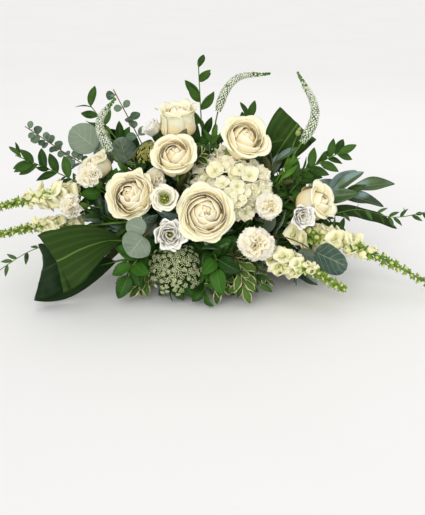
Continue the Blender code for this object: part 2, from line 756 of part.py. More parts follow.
def linked(name, mesh):
    """A new object in the scene that holds mesh."""
    made = bpy.data.objects.new(name, mesh)
    bpy.context.scene.collection.objects.link(made)
    return made


def solid_from(name, points, faces):
    """A mesh object from points in millimetres and faces of their numbers."""
    mesh = bpy.data.meshes.new(name)
    mesh.from_pydata((np.asarray(points, float) * MM).tolist(), [], [list(map(int, f)) for f in faces])
    return linked(name, mesh)


def cup_petal(radius, low, height, azimuth, span, lip, columns):
    """Rows of a cupped petal round +Z, from its base at low to its rim at height, rolled out by lip."""
    rows = []
    belly = (0.05 * radius, 0.92 * radius / (1 + lip), 0.84 * radius / (1 + lip), radius)
    lift = (low, low, low + 0.75 * (height - low), height - 0.25 * lip * height)
    for v in (0, 0.5, 1):
        weights = ((1 - v) ** 3, 3 * v * (1 - v) ** 2, 3 * v**2 * (1 - v), v**3)
        out = sum(w * p for w, p in zip(weights, belly))
        up = sum(w * p for w, p in zip(weights, lift))
        across = np.linspace(1, -1, columns + 1) if v > 0 else np.array([0.0])
        half = span * (0.35 + 0.65 * math.sin(math.pi * min(v, 0.8) / 1.6))
        angles = azimuth + across * half
        drop = 0.14 * height * np.abs(across) ** 2.2 * v**2
        spread = out * (1 + 0.06 * across)
        rows.append(np.stack([spread * np.cos(angles), spread * np.sin(angles), up - drop], 1))
    return rows


def axial(points, centre, facing, turn=0.0):
    """Points modelled round +Z, turned to face along facing at centre, in millimetres."""
    axes = frame_of(facing, (0.13, 0.24, 0.96) if abs(facing[2]) < 0.9 else (0.96, 0.13, 0.24))
    x, y = axes[1], axes[2]
    cosine, sine = math.cos(turn), math.sin(turn)
    basis = np.array([x * cosine + y * sine, y * cosine - x * sine, unit(facing)])
    return np.asarray(centre, float) + np.asarray(points, float) @ basis


def dome_places(number, widest):
    """Directions spread evenly over a dome about +Z, out to the angle widest."""
    for i in range(number):
        height = 1 - (i + 0.5) / number * (1 - math.cos(widest))
        angle = i * TWO_FIFTHS_TURN
        around = math.sqrt(1 - height * height)
        yield np.array([around * math.cos(angle), around * math.sin(angle), height])


def axial_direction(direction, facing):
    """A direction modelled round +Z, turned with facing."""
    return axial([direction], (0, 0, 0), facing)[0]


def row_triangles(lengths):
    """Triangles over rows of points, mirrored about the middle. A row of one point is a base or a tip."""
    starts = np.concatenate([[0], np.cumsum(lengths)])
    found = []
    for i in range(len(lengths) - 1):
        a, b, here, there = starts[i], starts[i + 1], lengths[i], lengths[i + 1]
        if here == 1:
            found += [(a, b + k, b + k + 1) for k in range(there - 1)]
        elif there == 1:
            found += [(a + k, b, a + k + 1) for k in range(here - 1)]
        else:
            for k in range(here - 1):
                if k < (here - 1) / 2:
                    found += [(a + k, b + k, b + k + 1), (a + k, b + k + 1, a + k + 1)]
                else:
                    found += [(a + k, b + k, a + k + 1), (a + k + 1, b + k, b + k + 1)]
    return np.array(found)


def row_blade(rows, thickness):
    """A closed blade over rows of points, both faces split alike. A row of one point is a sharp end."""
    points = np.concatenate(rows)
    triangles = row_triangles([len(r) for r in rows])
    corners = points[triangles]
    facing = np.cross(corners[:, 1] - corners[:, 0], corners[:, 2] - corners[:, 0])
    normals = np.zeros_like(points)
    for i in range(3):
        np.add.at(normals, triangles[:, i], facing)
    normals /= np.linalg.norm(normals, axis=1, keepdims=True)
    count = len(points)
    below = np.arange(count) + count
    ends = np.concatenate([np.full(len(r), len(r) == 1) for r in rows])
    below[ends] = np.arange(count)[ends]
    upper = np.where(ends[:, None], points, points + normals * thickness / 2)
    edges = {(a, b) for f in triangles.tolist() for a, b in ((f[0], f[1]), (f[1], f[2]), (f[2], f[0]))}
    walls = []
    for a, b in sorted(edges):
        if (b, a) not in edges:
            walls += [(b, a, below[a]), (b, below[a], below[b])]
    faces = [*triangles.tolist(), *below[triangles[:, ::-1]].tolist(), *walls]
    faces = [f for f in faces if len(set(f)) == 3]
    used = np.unique(faces)
    number = {old: new for new, old in enumerate(used.tolist())}
    both = np.concatenate([upper, points - normals * thickness / 2])[used]
    return solid_from("blade", both, [[number[int(v)] for v in f] for f in faces])


def tube(name, line, radii):
    """A four-sided bevelled curve along a polyline, made a mesh."""
    curve = bpy.data.curves.new(name, "CURVE")
    curve.dimensions = "3D"
    curve.bevel_depth = MM
    curve.bevel_resolution = 0
    curve.use_fill_caps = True
    spline = curve.splines.new("POLY")
    spline.points.add(len(line) - 1)
    for point, place, radius in zip(spline.points, line, radii):
        point.co = (*(np.asarray(place) * MM), 1)
        point.radius = radius
    shape = bpy.data.objects.new(name, curve)
    mesh = bpy.data.meshes.new_from_object(shape)
    bpy.data.objects.remove(shape)
    welded = bmesh.new()
    welded.from_mesh(mesh)
    bmesh.ops.remove_doubles(welded, verts=welded.verts, dist=WELD)
    bmesh.ops.recalc_face_normals(welded, faces=welded.faces)
    welded.to_mesh(mesh)
    welded.free()
    return linked(name, mesh)


def sparse(line, slack):
    """The fewest points of a polyline that stay within slack of it."""
    first, last = line[0], line[-1]
    span = last - first
    share = np.clip((line - first) @ span / max(span @ span, 1e-9), 0, 1)
    off = np.linalg.norm(line - first - share[:, None] * span, axis=1)
    far = int(off.argmax())
    if off[far] <= slack:
        return np.array([first, last])
    return np.concatenate([sparse(line[: far + 1], slack)[:-1], sparse(line[far:], slack)])


def stem_tube(stem, reach=0.0):
    """A stem's solid: straight in its hole, and bent along its line beyond it."""
    line = [stem.inner, *sparse(stem.line[2:], min(0.7 * stem.radius, 1.3))]
    if reach:
        line.append(line[-1] + unit(line[-1] - line[-2]) * reach)
    radii = np.linspace(stem.radius, stem.radius * STEM_TAPER, len(line))
    radii[:2] = stem.radius
    return tube("stem", line, radii)


def leaf_blade(leaf, rows, across):
    """A leaf's solid: its base point in the stem, rows of points across it, and its tip."""
    form = leaf.form
    made = [leaf.place(np.array([[-form.stalk - 0.5, 0, 0]]))]
    if form.stalk > LONG_STALK:
        made.append(leaf.place(form.surface(0.04, np.linspace(1.0, -1.0, across))))
    for i in range(1, rows + 1):
        share = (i - 0.4) / (rows + 0.2)
        made.append(leaf.place(form.surface(share, np.linspace(1.0, -1.0, across))))
    made.append(leaf.place(form.surface(1.0, 0.0).reshape(1, 3)))
    return row_blade(made, LEAF_THICKNESS)


def turned(name, profile, sides, centre=(0, 0, 0), facing=(0, 0, 1), stagger=0.0):
    """A lathe-turned solid from radius and height pairs, the first and last of them on its axis."""
    points, faces = [], []
    for i, (radius, height) in enumerate(profile[1:-1]):
        for k in range(sides):
            angle = 2 * math.pi * (k + stagger * i) / sides
            points.append((radius * math.cos(angle), radius * math.sin(angle), height))
    points += [(0, 0, profile[0][1]), (0, 0, profile[-1][1])]
    rings = len(profile) - 2
    for i in range(rings - 1):
        for k in range(sides):
            a, b = i * sides + k, i * sides + (k + 1) % sides
            faces += [(a, b, b + sides), (a, b + sides, a + sides)]
    low, high, last = rings * sides, rings * sides + 1, (rings - 1) * sides
    for k in range(sides):
        following = (k + 1) % sides
        faces += [(low, following, k), (last + k, last + following, high)]
    return solid_from(name, axial(points, centre, facing), faces)


def flared_floret(root, centre, facing, wide, lobes, lift, turn):
    """A floret that widens from its root to a rim of lobes lifted above its sunken middle."""
    rim = []
    for k in range(lobes):
        angle = 2 * math.pi * k / lobes
        rim.append((wide * math.cos(angle), wide * math.sin(angle), lift))
    points = [root, *axial([(0, 0, -0.5 * lift), *rim], centre, facing, turn)]
    faces = []
    for k in range(lobes):
        a, b = 2 + k, 2 + (k + 1) % lobes
        faces += [(1, a, b), (0, b, a)]
    return solid_from("floret", points, faces)


def rose(cutting, stem):
    """Petals in three layers round a furled bud, on a calyx and a stem."""
    size, facing, depth = cutting.size, unit(cutting.facing), cutting.size * cutting.depth
    base = cutting.head_base
    parts = [stem_tube(stem)]
    parts.append(turned("bud", [(r * size, z * depth) for r, z in ROSE_BUD], 5, base, facing, 0.3))
    turn = 0.4
    for count, reach, low, height, span, lip, columns in ROSE_LAYERS:
        for k in range(count):
            azimuth = turn + 2 * math.pi * k / count
            rows = cup_petal(reach * size, low * depth, height * depth, azimuth, span, lip, columns)
            parts.append(row_blade([axial(r, base, facing) for r in rows], PETAL_THICKNESS))
        turn += 0.7
    return parts


def waved_head(name, profile, sides, centre, facing):
    """A turned head whose rings wave: each has a radius, a height, its swing and its phase."""
    points, faces = [], []
    for radius, height, swing, phase in profile:
        for k in range(sides):
            angle = 2 * math.pi * k / sides
            wave = swing * (1 if (k + phase) % 2 else -1)
            rise = radius * swing * (1.1 if (k + phase) % 4 < 2 else -0.7)
            out = radius * (1 + wave)
            points.append((out * math.cos(angle), out * math.sin(angle), height + rise))
    rings = len(profile)
    for i in range(rings - 1):
        for k in range(sides):
            a, b = i * sides + k, i * sides + (k + 1) % sides
            faces += [(a, b, b + sides), (a, b + sides, a + sides)]
    middle, last = len(points), (rings - 1) * sides
    points += [(0, 0, profile[0][1] - 0.5), (0, 0, profile[-1][1])]
    for k in range(sides):
        following = (k + 1) % sides
        faces += [(middle, following, k), (last + k, last + following, middle + 1)]
    return solid_from(name, axial(points, centre, facing), faces)


def carnation(cutting, stem):
    """Four ruffled tiers raised from one turned head, over a long calyx."""
    size = cutting.size
    profile = [(r * size, z * size, swing, phase) for r, z, swing, phase in CARNATION_PROFILE]
    head = waved_head("head", profile, HEAD_SIDES, cutting.head_base, unit(cutting.facing))
    return [stem_tube(stem, reach=0.3 * size), head]


def lisianthus(cutting, stem):
    """A cup with five lobes round a pointed pistil."""
    size, facing, base = cutting.size, unit(cutting.facing), cutting.head_base
    profile = [(r * size, z * size, swing, 0) for r, z, swing in LISIANTHUS_PROFILE]
    parts = [stem_tube(stem), waved_head("cup", profile, HEAD_SIDES, base, facing)]
    parts.append(turned("pistil", [(r * size, z * size) for r, z in PISTIL], 4, base, facing))
    return parts


def hydrangea(cutting, stem):
    """A domed head of square florets that stand out of a smaller core."""
    size, facing, base = cutting.size, unit(cutting.facing), cutting.head_base
    form = BLOOMS["hydrangea"]
    depth = (form.back + form.front) * size
    core = [(0, 0.02 * size)]
    for share in (0.0, 0.36, 0.72):
        angle = share * math.pi / 2
        core.append((0.74 * size * math.cos(angle), 0.12 * size + 0.64 * depth * math.sin(angle)))
    core.append((0, 0.12 * size + 0.64 * depth))
    parts = [stem_tube(stem, reach=10.0), turned("core", core, 9, base, facing, 0.5)]
    for i, place in enumerate(dome_places(cutting.count, HYDRANGEA_SPREAD)):
        spot = place * (0.93 * size, 0.93 * size, 0.78 * depth) + (0, 0, 0.2 * size)
        root = spot - unit(place * (1, 1, 1.2)) * 0.4 * size
        outward = axial_direction(unit(place * (1, 1, 1.25)), facing)
        ends = axial([root, spot], base, facing)
        wide, lift = HYDRANGEA_FLORET * size, 0.07 * size
        parts.append(flared_floret(ends[0], ends[1], outward, wide, 4, lift, i * 1.3))
    return parts


def lace(cutting, stem):
    """A domed umbel of small heads, each widening from the stem's end."""
    size, facing = cutting.size, unit(cutting.facing)
    form = BLOOMS["lace"]
    hub = cutting.tip - facing * form.back * size * 0.9
    depth = (form.back * 0.9 + form.front) * size * 0.9
    parts = [stem_tube(stem, reach=2.0), turned("hub", ((0, -2), (3, 0), (0, 3)), 5, hub, facing)]
    wide = size * 0.84 / math.sqrt(cutting.count)
    for i in range(cutting.count):
        out = math.sqrt((i + 0.5) / cutting.count)
        angle = i * TWO_FIFTHS_TURN
        around = 0.9 * size * out
        height = depth * (1 - 0.75 * out**2.2)
        spot = np.array([around * math.cos(angle), around * math.sin(angle), height])
        outward = unit(spot)
        ends = axial([outward, spot], hub, facing)
        ahead = axial_direction(outward, facing)
        parts.append(flared_floret(ends[0], ends[1], ahead, wide, 4, -0.3 * wide, i * 0.8))
    return parts


def snapdragon(cutting, stem):
    """Flared flowers round the stem, full ones low down and buds at the tip."""
    parts = [stem_tube(stem, reach=2.0)]
    for i, floret in enumerate(snapdragon_florets(cutting, stem)):
        size = floret.size
        wide, length, lift = OPEN_FLORET if floret.open else CLOSED_FLORET
        mouth = floret.place + floret.facing * length * size
        root = floret.place - floret.facing * 0.6
        parts.append(flared_floret(root, mouth, floret.facing, wide * size, 4, lift * size, i * 0.7))
    return parts


def veronica(cutting, stem, leaves):
    """A long curved spike studded all round, on a leafy stem."""
    parts = [stem_tube(stem), *[leaf_blade(leaf, 1, 2) for leaf in leaves]]
    rings, sides, points, faces = SPIKE_RINGS, SPIKE_SIDES, [], []
    side = np.array([0.2, -1.0, 0.1])
    for i in range(rings + 1):
        share = i / rings
        point, ahead = along_line(stem.line, min(stem_share(cutting, stem, share), 1.0))
        side = unit(side - ahead * np.dot(side, ahead))
        up = np.cross(ahead, side)
        for k in range(sides):
            angle = 2 * math.pi * k / sides
            stud = 1.32 if (i + k) % 2 and 0 < i < rings else 0.8
            radius = cutting.size * spike_swell(share) * stud * min(1.0, 0.35 + 6 * share)
            points.append(point + radius * (side * math.cos(angle) + up * math.sin(angle)))
    for i in range(rings):
        for k in range(sides):
            a, b = i * sides + k, i * sides + (k + 1) % sides
            faces += [(a, b, b + sides), (a, b + sides, a + sides)]
    faces += [tuple(range(sides))[::-1], tuple(rings * sides + k for k in range(sides))]
    parts.append(solid_from("spike", points, faces))
    return parts


def bud(cutting, stem):
    """A thin stem that ends in a pointed bud."""
    size, ahead = cutting.size, unit(stem.line[-1] - stem.line[-2])
    profile = [(r * size, z * size) for r, z in CLOSED_BUD]
    return [stem_tube(stem), turned("bud", profile, 5, stem.line[-1], ahead)]


def foliage(cutting, stem, leaves):
    """A stem and its leaves."""
    rows, across = LEAF_GRIDS[cutting.kind]
    return [stem_tube(stem), *[leaf_blade(leaf, rows, across) for leaf in leaves]]


def ribbon_leaf(ribbon, stem):
    """A strap leaf on its stalk. One that folds back has more rows."""
    rows = 9 if len(ribbon.midrib) > 5 else 5
    return [stem_tube(stem, reach=2.5), row_blade(ribbon.grid(rows, 2), RIBBON_THICKNESS)]


def baked(shape):
    """The mesh of an object with its modifiers applied."""
    bpy.context.view_layer.update()
    graph = bpy.context.evaluated_depsgraph_get()
    return bpy.data.meshes.new_from_object(shape.evaluated_get(graph))


def combine(body, parts, operation):
    """Applies one Boolean of body with all parts, which are then removed."""
    operands = bpy.data.collections.new(body.name + "_parts")
    bpy.context.scene.collection.children.link(operands)
    for part in parts:
        bpy.context.scene.collection.objects.unlink(part)
        operands.objects.link(part)
    boolean = body.modifiers.new("boolean", "BOOLEAN")
    boolean.operation = operation
    boolean.operand_type = "COLLECTION"
    boolean.collection = operands
    body.data = baked(body)
    body.modifiers.clear()
    for part in parts:
        bpy.data.objects.remove(part)
    bpy.data.collections.remove(operands)


def fuse(name, parts, material):
    """Joins the parts of one cutting into one solid in one finish."""
    body = parts[0]
    body.name = name
    combine(body, parts[1:], "UNION")
    body.data.name = name
    body.data.materials.clear()
    body.data.materials.append(material)


def finish_material(name, colour, roughness):
    """A Principled material in one colour."""
    made = bpy.data.materials.new(name)
    made.use_nodes = True
    shader = made.node_tree.nodes["Principled BSDF"]
    shader.inputs["Base Color"].default_value = (*colour, 1)
    shader.inputs["Roughness"].default_value = roughness
    return made


def bowl(material):
    """The low bowl, turned: a flat foot, a bellied wall and a flat floor inside."""
    foot, rim = BOWL_FOOT_RADIUS, BOWL_RIM_RADIUS
    heel = foot + 7
    outside = [(foot, 0), (heel, 3)]
    for degrees in (30, 60, 90):
        angle = math.radians(degrees)
        height = 3 + (BOWL_HEIGHT - 5) * (1 - math.cos(angle))
        outside.append((heel + (rim - heel) * math.sin(angle), height))
    inside = [(rim - 0.5 * BOWL_WALL, BOWL_HEIGHT)]
    for radius, height in outside[:0:-1]:
        inside.append((radius - BOWL_WALL, max(height, BOWL_FLOOR)))
    made = turned("bowl", [(0, 0), *outside, *inside, (0, BOWL_FLOOR)], BOWL_SIDES)
    made.data.shade_smooth()
    made.data.set_sharp_from_angle(angle=math.radians(35))
    made.data.materials.append(material)


def foam(stems, material):
    """The block of wet foam, its corners and its lower edge cut off, with a hole for each stem."""
    bottom = BOWL_FLOOR + FOAM_FLOOR_GAP
    mesh = bpy.data.meshes.new("foam")
    block = bmesh.new()
    bmesh.ops.create_cube(block, size=1)
    sides = (2 * FOAM_HALF_X * MM, 2 * FOAM_HALF_Y * MM, (FOAM_TOP - bottom) * MM)
    bmesh.ops.scale(block, vec=sides, verts=block.verts)
    bmesh.ops.translate(block, vec=(0, 0, (FOAM_TOP + bottom) / 2 * MM), verts=block.verts)
    upright = [e for e in block.edges if abs(e.verts[0].co.z - e.verts[1].co.z) > 1 * MM]
    bmesh.ops.bevel(block, geom=upright, offset=FOAM_CHAMFER * MM, segments=1, affect="EDGES")
    lower = [e for e in block.edges if max(v.co.z for v in e.verts) < (bottom + 1) * MM]
    bmesh.ops.bevel(block, geom=lower, offset=FOAM_TRIM * MM, segments=1, affect="EDGES")
    block.to_mesh(mesh)
    block.free()
    made = linked("foam", mesh)
    cutters = []
    for stem in stems:
        ahead = unit(stem.line[2] - stem.inner)
        radius = stem.radius + HOLE_CLEARANCE / math.cos(math.pi / 4)
        ends = [stem.inner - ahead * HOLE_END_GAP, stem.entry + ahead * 14]
        cutters.append(tube("hole", ends, (radius, radius)))
    combine(made, cutters, "DIFFERENCE")
    made.data.materials.append(material)


COLOURS = {
    "rose": ((0.90, 0.86, 0.66), 0.6),
    "hydrangea": ((0.88, 0.89, 0.76), 0.6),
    "carnation": ((0.92, 0.89, 0.78), 0.65),
    "lisianthus": ((0.90, 0.89, 0.84), 0.6),
    "snapdragon": ((0.82, 0.83, 0.60), 0.6),
    "veronica": ((0.78, 0.82, 0.66), 0.7),
    "lace": ((0.62, 0.70, 0.45), 0.75),
    "bud": ((0.60, 0.66, 0.34), 0.6),
    "ruscus": ((0.07, 0.20, 0.05), 0.35),
    "gunnii": ((0.20, 0.30, 0.24), 0.6),
    "silver_dollar": ((0.30, 0.38, 0.33), 0.6),
    "salal": ((0.05, 0.20, 0.04), 0.35),
    "pittosporum": ((0.17, 0.28, 0.12), 0.45),
    "magnolia": ((0.09, 0.15, 0.07), 0.35),
    "jasmine": ((0.06, 0.16, 0.05), 0.45),
    "aspidistra": ((0.07, 0.20, 0.04), 0.35),
    "bowl": ((0.03, 0.06, 0.035), 0.35),
    "foam": ((0.05, 0.17, 0.08), 0.95),
}


def build():
    """Every cutting and strap leaf, then the bowl and the foam they stand in."""
    for old in list(bpy.data.objects):
        bpy.data.objects.remove(old, do_unlink=True)
    materials = {name: finish_material(name, *look) for name, look in COLOURS.items()}
    layout = Layout()
    leafless = {
        "rose": rose,
        "carnation": carnation,
        "lisianthus": lisianthus,
        "hydrangea": hydrangea,
        "lace": lace,
        "snapdragon": snapdragon,
        "bud": bud,
    }
    for cutting in CUTTINGS:
        stem = layout.stems[cutting.name]
        if cutting.kind in leafless:
            parts = leafless[cutting.kind](cutting, stem)
        else:
            grown = veronica if cutting.kind == "veronica" else foliage
            parts = grown(cutting, stem, layout.leaves[cutting.name])
        fuse(cutting.name, parts, materials[cutting.kind])
    for ribbon in RIBBONS:
        fuse(ribbon.name, ribbon_leaf(ribbon, layout.stems[ribbon.name]), materials["aspidistra"])
    bowl(materials["bowl"])
    foam(layout.stems.values(), materials["foam"])


build()
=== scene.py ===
"""Looks of the side table flower arrangement: fine petals, florets and leaves, glaze, floor, light and camera.

Metres in the scene and millimetres in the tables, with +Z up and the front towards -Y. The tables of places are
those of the solids, so every fine bloom, spike and spray stands where its solid does.
"""

import json
import logging
import math
import random
from dataclasses import dataclass, replace
from enum import Enum
from typing import ClassVar, Iterator, Optional, Sequence

import bpy
import numpy as np
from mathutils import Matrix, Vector

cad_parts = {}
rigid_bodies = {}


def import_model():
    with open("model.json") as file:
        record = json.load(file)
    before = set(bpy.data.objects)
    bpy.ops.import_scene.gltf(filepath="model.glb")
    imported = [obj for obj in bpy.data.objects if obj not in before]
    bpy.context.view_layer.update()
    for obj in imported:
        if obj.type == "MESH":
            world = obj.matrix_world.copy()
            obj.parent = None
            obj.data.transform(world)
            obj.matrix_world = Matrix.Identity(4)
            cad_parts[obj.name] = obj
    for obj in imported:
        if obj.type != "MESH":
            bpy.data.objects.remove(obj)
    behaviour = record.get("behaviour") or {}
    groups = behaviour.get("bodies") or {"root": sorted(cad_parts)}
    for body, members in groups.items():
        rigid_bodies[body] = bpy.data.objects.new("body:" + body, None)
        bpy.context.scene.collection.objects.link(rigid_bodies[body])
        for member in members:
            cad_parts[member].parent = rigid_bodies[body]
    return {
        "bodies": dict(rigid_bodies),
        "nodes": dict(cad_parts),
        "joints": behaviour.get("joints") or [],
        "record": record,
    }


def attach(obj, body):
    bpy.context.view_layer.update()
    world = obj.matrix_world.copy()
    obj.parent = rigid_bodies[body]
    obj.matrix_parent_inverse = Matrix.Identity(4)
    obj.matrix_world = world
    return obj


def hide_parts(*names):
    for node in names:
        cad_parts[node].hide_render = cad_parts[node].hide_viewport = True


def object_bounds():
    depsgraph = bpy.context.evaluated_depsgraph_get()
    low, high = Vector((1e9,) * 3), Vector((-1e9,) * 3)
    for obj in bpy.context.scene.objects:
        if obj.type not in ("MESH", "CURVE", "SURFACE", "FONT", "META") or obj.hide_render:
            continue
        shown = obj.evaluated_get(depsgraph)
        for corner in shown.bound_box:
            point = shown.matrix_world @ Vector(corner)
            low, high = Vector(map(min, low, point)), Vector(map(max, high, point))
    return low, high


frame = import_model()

CAD_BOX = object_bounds()

Array = np.ndarray
Colour = tuple[float, float, float]

MM = 0.001
GOLDEN_TURN = 2.399963

BOWL_RIM_RADIUS = 88.0
BOWL_FOOT_RADIUS = 58.0
BOWL_HEIGHT = 46.0
BOWL_WALL = 3.4
BOWL_FLOOR = 5.0

FOAM_HALF_X = 68.0
FOAM_HALF_Y = 56.0
FOAM_CHAMFER = 30.0
FOAM_TOP = 90.0

HOLE_DEPTH = 24.0
STEM_FOCUS_HEIGHT = 40.0
RIM_CLEAR_RADIUS = 100.0
RIM_CLEAR_HEIGHT = 57.0

SAMPLE_STEP = 3.2
LEAF_GAP = 2.0
STEM_GAP = 1.3
FLOOR_GAP = 5.0
CELL = 2.4
BLOOM_LEAST = 15.0
BOX_LOW = np.array(CAD_BOX[0]) * 1000 + 1.5
BOX_HIGH = np.array(CAD_BOX[1]) * 1000 - 1.5

log = logging.getLogger("arrangement")


def unit(vector: Sequence[float]) -> Array:
    """The vector at length one."""
    return np.asarray(vector, float) / np.linalg.norm(vector)


def frame_of(along: Sequence[float], normal: Sequence[float]) -> Array:
    """The directions of a piece's own axes.

    Args:
        along: where its x axis points.
        normal: what its z axis keeps near to.

    Returns:
        Rows x, y and z.
    """
    x = unit(along)
    z = np.asarray(normal, float) - x * np.dot(normal, x)
    if np.linalg.norm(z) < 1e-6:
        z = np.cross(x, (0.31, 0.87, 0.38))
    z = unit(z)
    return np.array([x, np.cross(z, x), z])


def turned_about(vector: Sequence[float], axis: Sequence[float], angle: float) -> Array:
    """The vector turned about an axis.

    Args:
        vector: what is turned.
        axis: what it turns about.
        angle: how far, in radians.

    Returns:
        The turned vector.
    """
    axis = unit(axis)
    vector = np.asarray(vector, float)
    return (
        vector * math.cos(angle)
        + np.cross(axis, vector) * math.sin(angle)
        + axis * np.dot(axis, vector) * (1 - math.cos(angle))
    )


def flowing_line(points: Sequence[Sequence[float]], first: Array, last: Array) -> Array:
    """A smooth line through points.

    Args:
        points: what it runs through.
        first: the direction it leaves in.
        last: the direction it arrives in.

    Returns:
        A polyline with a point every SAMPLE_STEP.
    """
    points = [np.asarray(p, float) for p in points]
    line = [points[0]]
    for i in range(len(points) - 1):
        a, b = points[i], points[i + 1]
        reach = np.linalg.norm(b - a)
        leave = first if i == 0 else unit(b - points[i - 1])
        arrive = last if i == len(points) - 2 else unit(points[i + 2] - a)
        steps = max(2, round(reach / SAMPLE_STEP))
        for k in range(1, steps + 1):
            t = k / steps
            line.append(
                a * (2 * t**3 - 3 * t**2 + 1)
                + b * (3 * t**2 - 2 * t**3)
                + leave * reach * (t**3 - 2 * t**2 + t)
                + arrive * reach * (t**3 - t**2)
            )
    return np.array(line)


def along_line(line: Array, share: float) -> tuple[Array, Array]:
    """The point and the direction at a share of a polyline's length.

    Args:
        line: a polyline.
        share: where on it, from 0 to 1.

    Returns:
        The point and the unit direction.
    """
    steps = np.linalg.norm(np.diff(line, axis=0), axis=1)
    along = np.concatenate([[0], np.cumsum(steps)]) / steps.sum()

    def at(place: float) -> Array:
        """The point at a share of the length."""
        return np.array([np.interp(place, along, line[:, i]) for i in range(3)])

    return at(share), unit(at(min(share + 0.02, 1)) - at(max(share - 0.02, 0)))


def axial(points: Array, centre: Sequence[float], facing: Sequence[float], turn: float = 0.0) -> Array:
    """Points modelled round +Z, set to face along a direction.

    Args:
        points: rows of x, y and z.
        centre: where their origin goes.
        facing: where their +Z goes.
        turn: how far they are first turned about +Z.

    Returns:
        The points in the arrangement's axes.
    """
    axes = frame_of(facing, (0.13, 0.24, 0.96) if abs(facing[2]) < 0.9 else (0.96, 0.13, 0.24))
    x, y = axes[1], axes[2]
    cosine, sine = math.cos(turn), math.sin(turn)
    basis = np.array([x * cosine + y * sine, y * cosine - x * sine, unit(facing)])
    return np.asarray(centre, float) + np.asarray(points, float) @ basis


def dome_places(number: int, widest: float) -> Iterator[Array]:
    """Directions spread evenly over a dome about +Z, out to the angle widest.

    Args:
        number: how many.
        widest: the angle of the lowest from +Z.

    Returns:
        Unit directions, from the top down.
    """
    for i in range(number):
        height = 1 - (i + 0.5) / number * (1 - math.cos(widest))
        angle = i * GOLDEN_TURN
        around = math.sqrt(1 - height * height)
        yield np.array([around * math.cos(angle), around * math.sin(angle), height])


def any_turn(draw: random.Random) -> float:
    """An angle in radians anywhere in a full turn."""
    return draw.uniform(0, 6.3)


def around(axes: Array, turn: float) -> Array:
    """The direction at a turn about the first of three axes."""
    return axes[1] * math.cos(turn) + axes[2] * math.sin(turn)


def turned_frame(face: Array, turn: float) -> Array:
    """The axes of a small flower that faces a way, turned about it."""
    return frame_of(turned_about(frame_of(face, (0.3, 0.2, 0.9))[1], face, turn), face)


def spun(x: Array, y: Array, angle: Array) -> tuple[Array, Array]:
    """Coordinates turned by an angle."""
    return x * np.cos(angle) - y * np.sin(angle), x * np.sin(angle) + y * np.cos(angle)


def smooth(value: Array) -> Array:
    """A soft step from 0 to 1 as the value goes from 0 to 1."""
    held = np.clip(value, 0, 1)
    return held * held * (3 - 2 * held)


class Kind(str, Enum):
    """What a cutting is."""

    ROSE = "rose"
    HYDRANGEA = "hydrangea"
    CARNATION = "carnation"
    LISIANTHUS = "lisianthus"
    LACE = "lace"
    SNAPDRAGON = "snapdragon"
    VERONICA = "veronica"
    BUD = "bud"
    RUSCUS = "ruscus"
    GUNNII = "gunnii"
    SILVER_DOLLAR = "silver_dollar"
    SALAL = "salal"
    PITTOSPORUM = "pittosporum"
    MAGNOLIA = "magnolia"
    JASMINE = "jasmine"
    ASPIDISTRA = "aspidistra"


@dataclass(frozen=True)
class Cutting:
    """One cut stem. Its way is the line outside the foam, and its last point is the head or the tip."""

    name: str
    kind: Kind
    way: tuple
    facing: tuple = (0, -0.9, 0.4)
    size: float = 30.0
    count: int = 6
    start: float = 0.4
    thickness: float = 1.7
    depth: float = 1.0

    @property
    def tip(self) -> Array:
        """The last point of the way."""
        return np.array(self.way[-1], float)

    @property
    def head_base(self) -> Array:
        """Where a bloom sits on its stem."""
        return self.tip - unit(self.facing) * BLOOMS[self.kind].back * self.size * self.depth


@dataclass(frozen=True)
class BloomForm:
    """Depth of a bloom behind and before its centre, as shares of its radius."""

    back: float
    front: float


BLOOMS: dict[Kind, BloomForm] = {
    Kind.ROSE: BloomForm(0.72, 0.42),
    Kind.HYDRANGEA: BloomForm(0.5, 0.66),
    Kind.CARNATION: BloomForm(0.62, 0.50),
    Kind.LISIANTHUS: BloomForm(0.75, 0.4),
    Kind.LACE: BloomForm(0.55, 0.4),
}


@dataclass(frozen=True)
class LeafForm:
    """A leaf blade: its outline, how far it bends back along its length, and how its halves fold up."""

    length: float
    width: float
    peak: float = 0.5
    blunt: float = 0.8
    bend: float = 0.5
    fold: float = 0.25
    stalk: float = 0.0

    def scaled(self, share: float) -> "LeafForm":
        """The same leaf at a share of its size."""
        return replace(self, length=self.length * share, width=self.width * share, stalk=self.stalk * share)

    def surface(self, s: Array, t: Array) -> Array:
        """Points of the blade.

        Args:
            s: shares from its base to its tip.
            t: shares from -1 to 1 across it.

        Returns:
            Points with x along the leaf and z up.
        """
        s, t = np.broadcast_arrays(np.asarray(s, float), np.asarray(t, float))
        power = math.log(0.5) / math.log(self.peak)
        half = 0.5 * self.width * np.sin(np.pi * np.clip(s, 1e-4, 1 - 1e-4) ** power) ** self.blunt
        bend = self.bend if abs(self.bend) > 1e-3 else 1e-3
        x = self.length * np.sin(bend * s) / bend
        z = -self.length * (1 - np.cos(bend * s)) / bend
        rise = self.fold * half * np.abs(t)
        return np.stack([x + rise * np.sin(bend * s), t * half, z + rise * np.cos(bend * s)], -1)


@dataclass(frozen=True)
class Leaf:
    """A leaf blade at its place. Its base is where the stalk leaves the stem."""

    form: LeafForm
    base: Array
    axes: Array

    def place(self, points: Array) -> Array:
        """Points of the leaf's own frame at their place."""
        return self.base + (points + (self.form.stalk, 0, 0)) @ self.axes

    def samples(self, first: float = 0.0) -> Array:
        """Points all over the blade, from a share of its length on.

        Args:
            first: the share of the length they begin at.

        Returns:
            Rows of points.
        """
        along = max(4, round(self.form.length / SAMPLE_STEP))
        over = max(2, round(self.form.width / SAMPLE_STEP))
        s = np.linspace(first, 1, along + 1)[:, None]
        t = np.linspace(-1, 1, over + 1)[None, :]
        return self.place(self.form.surface(s, t).reshape(-1, 3))


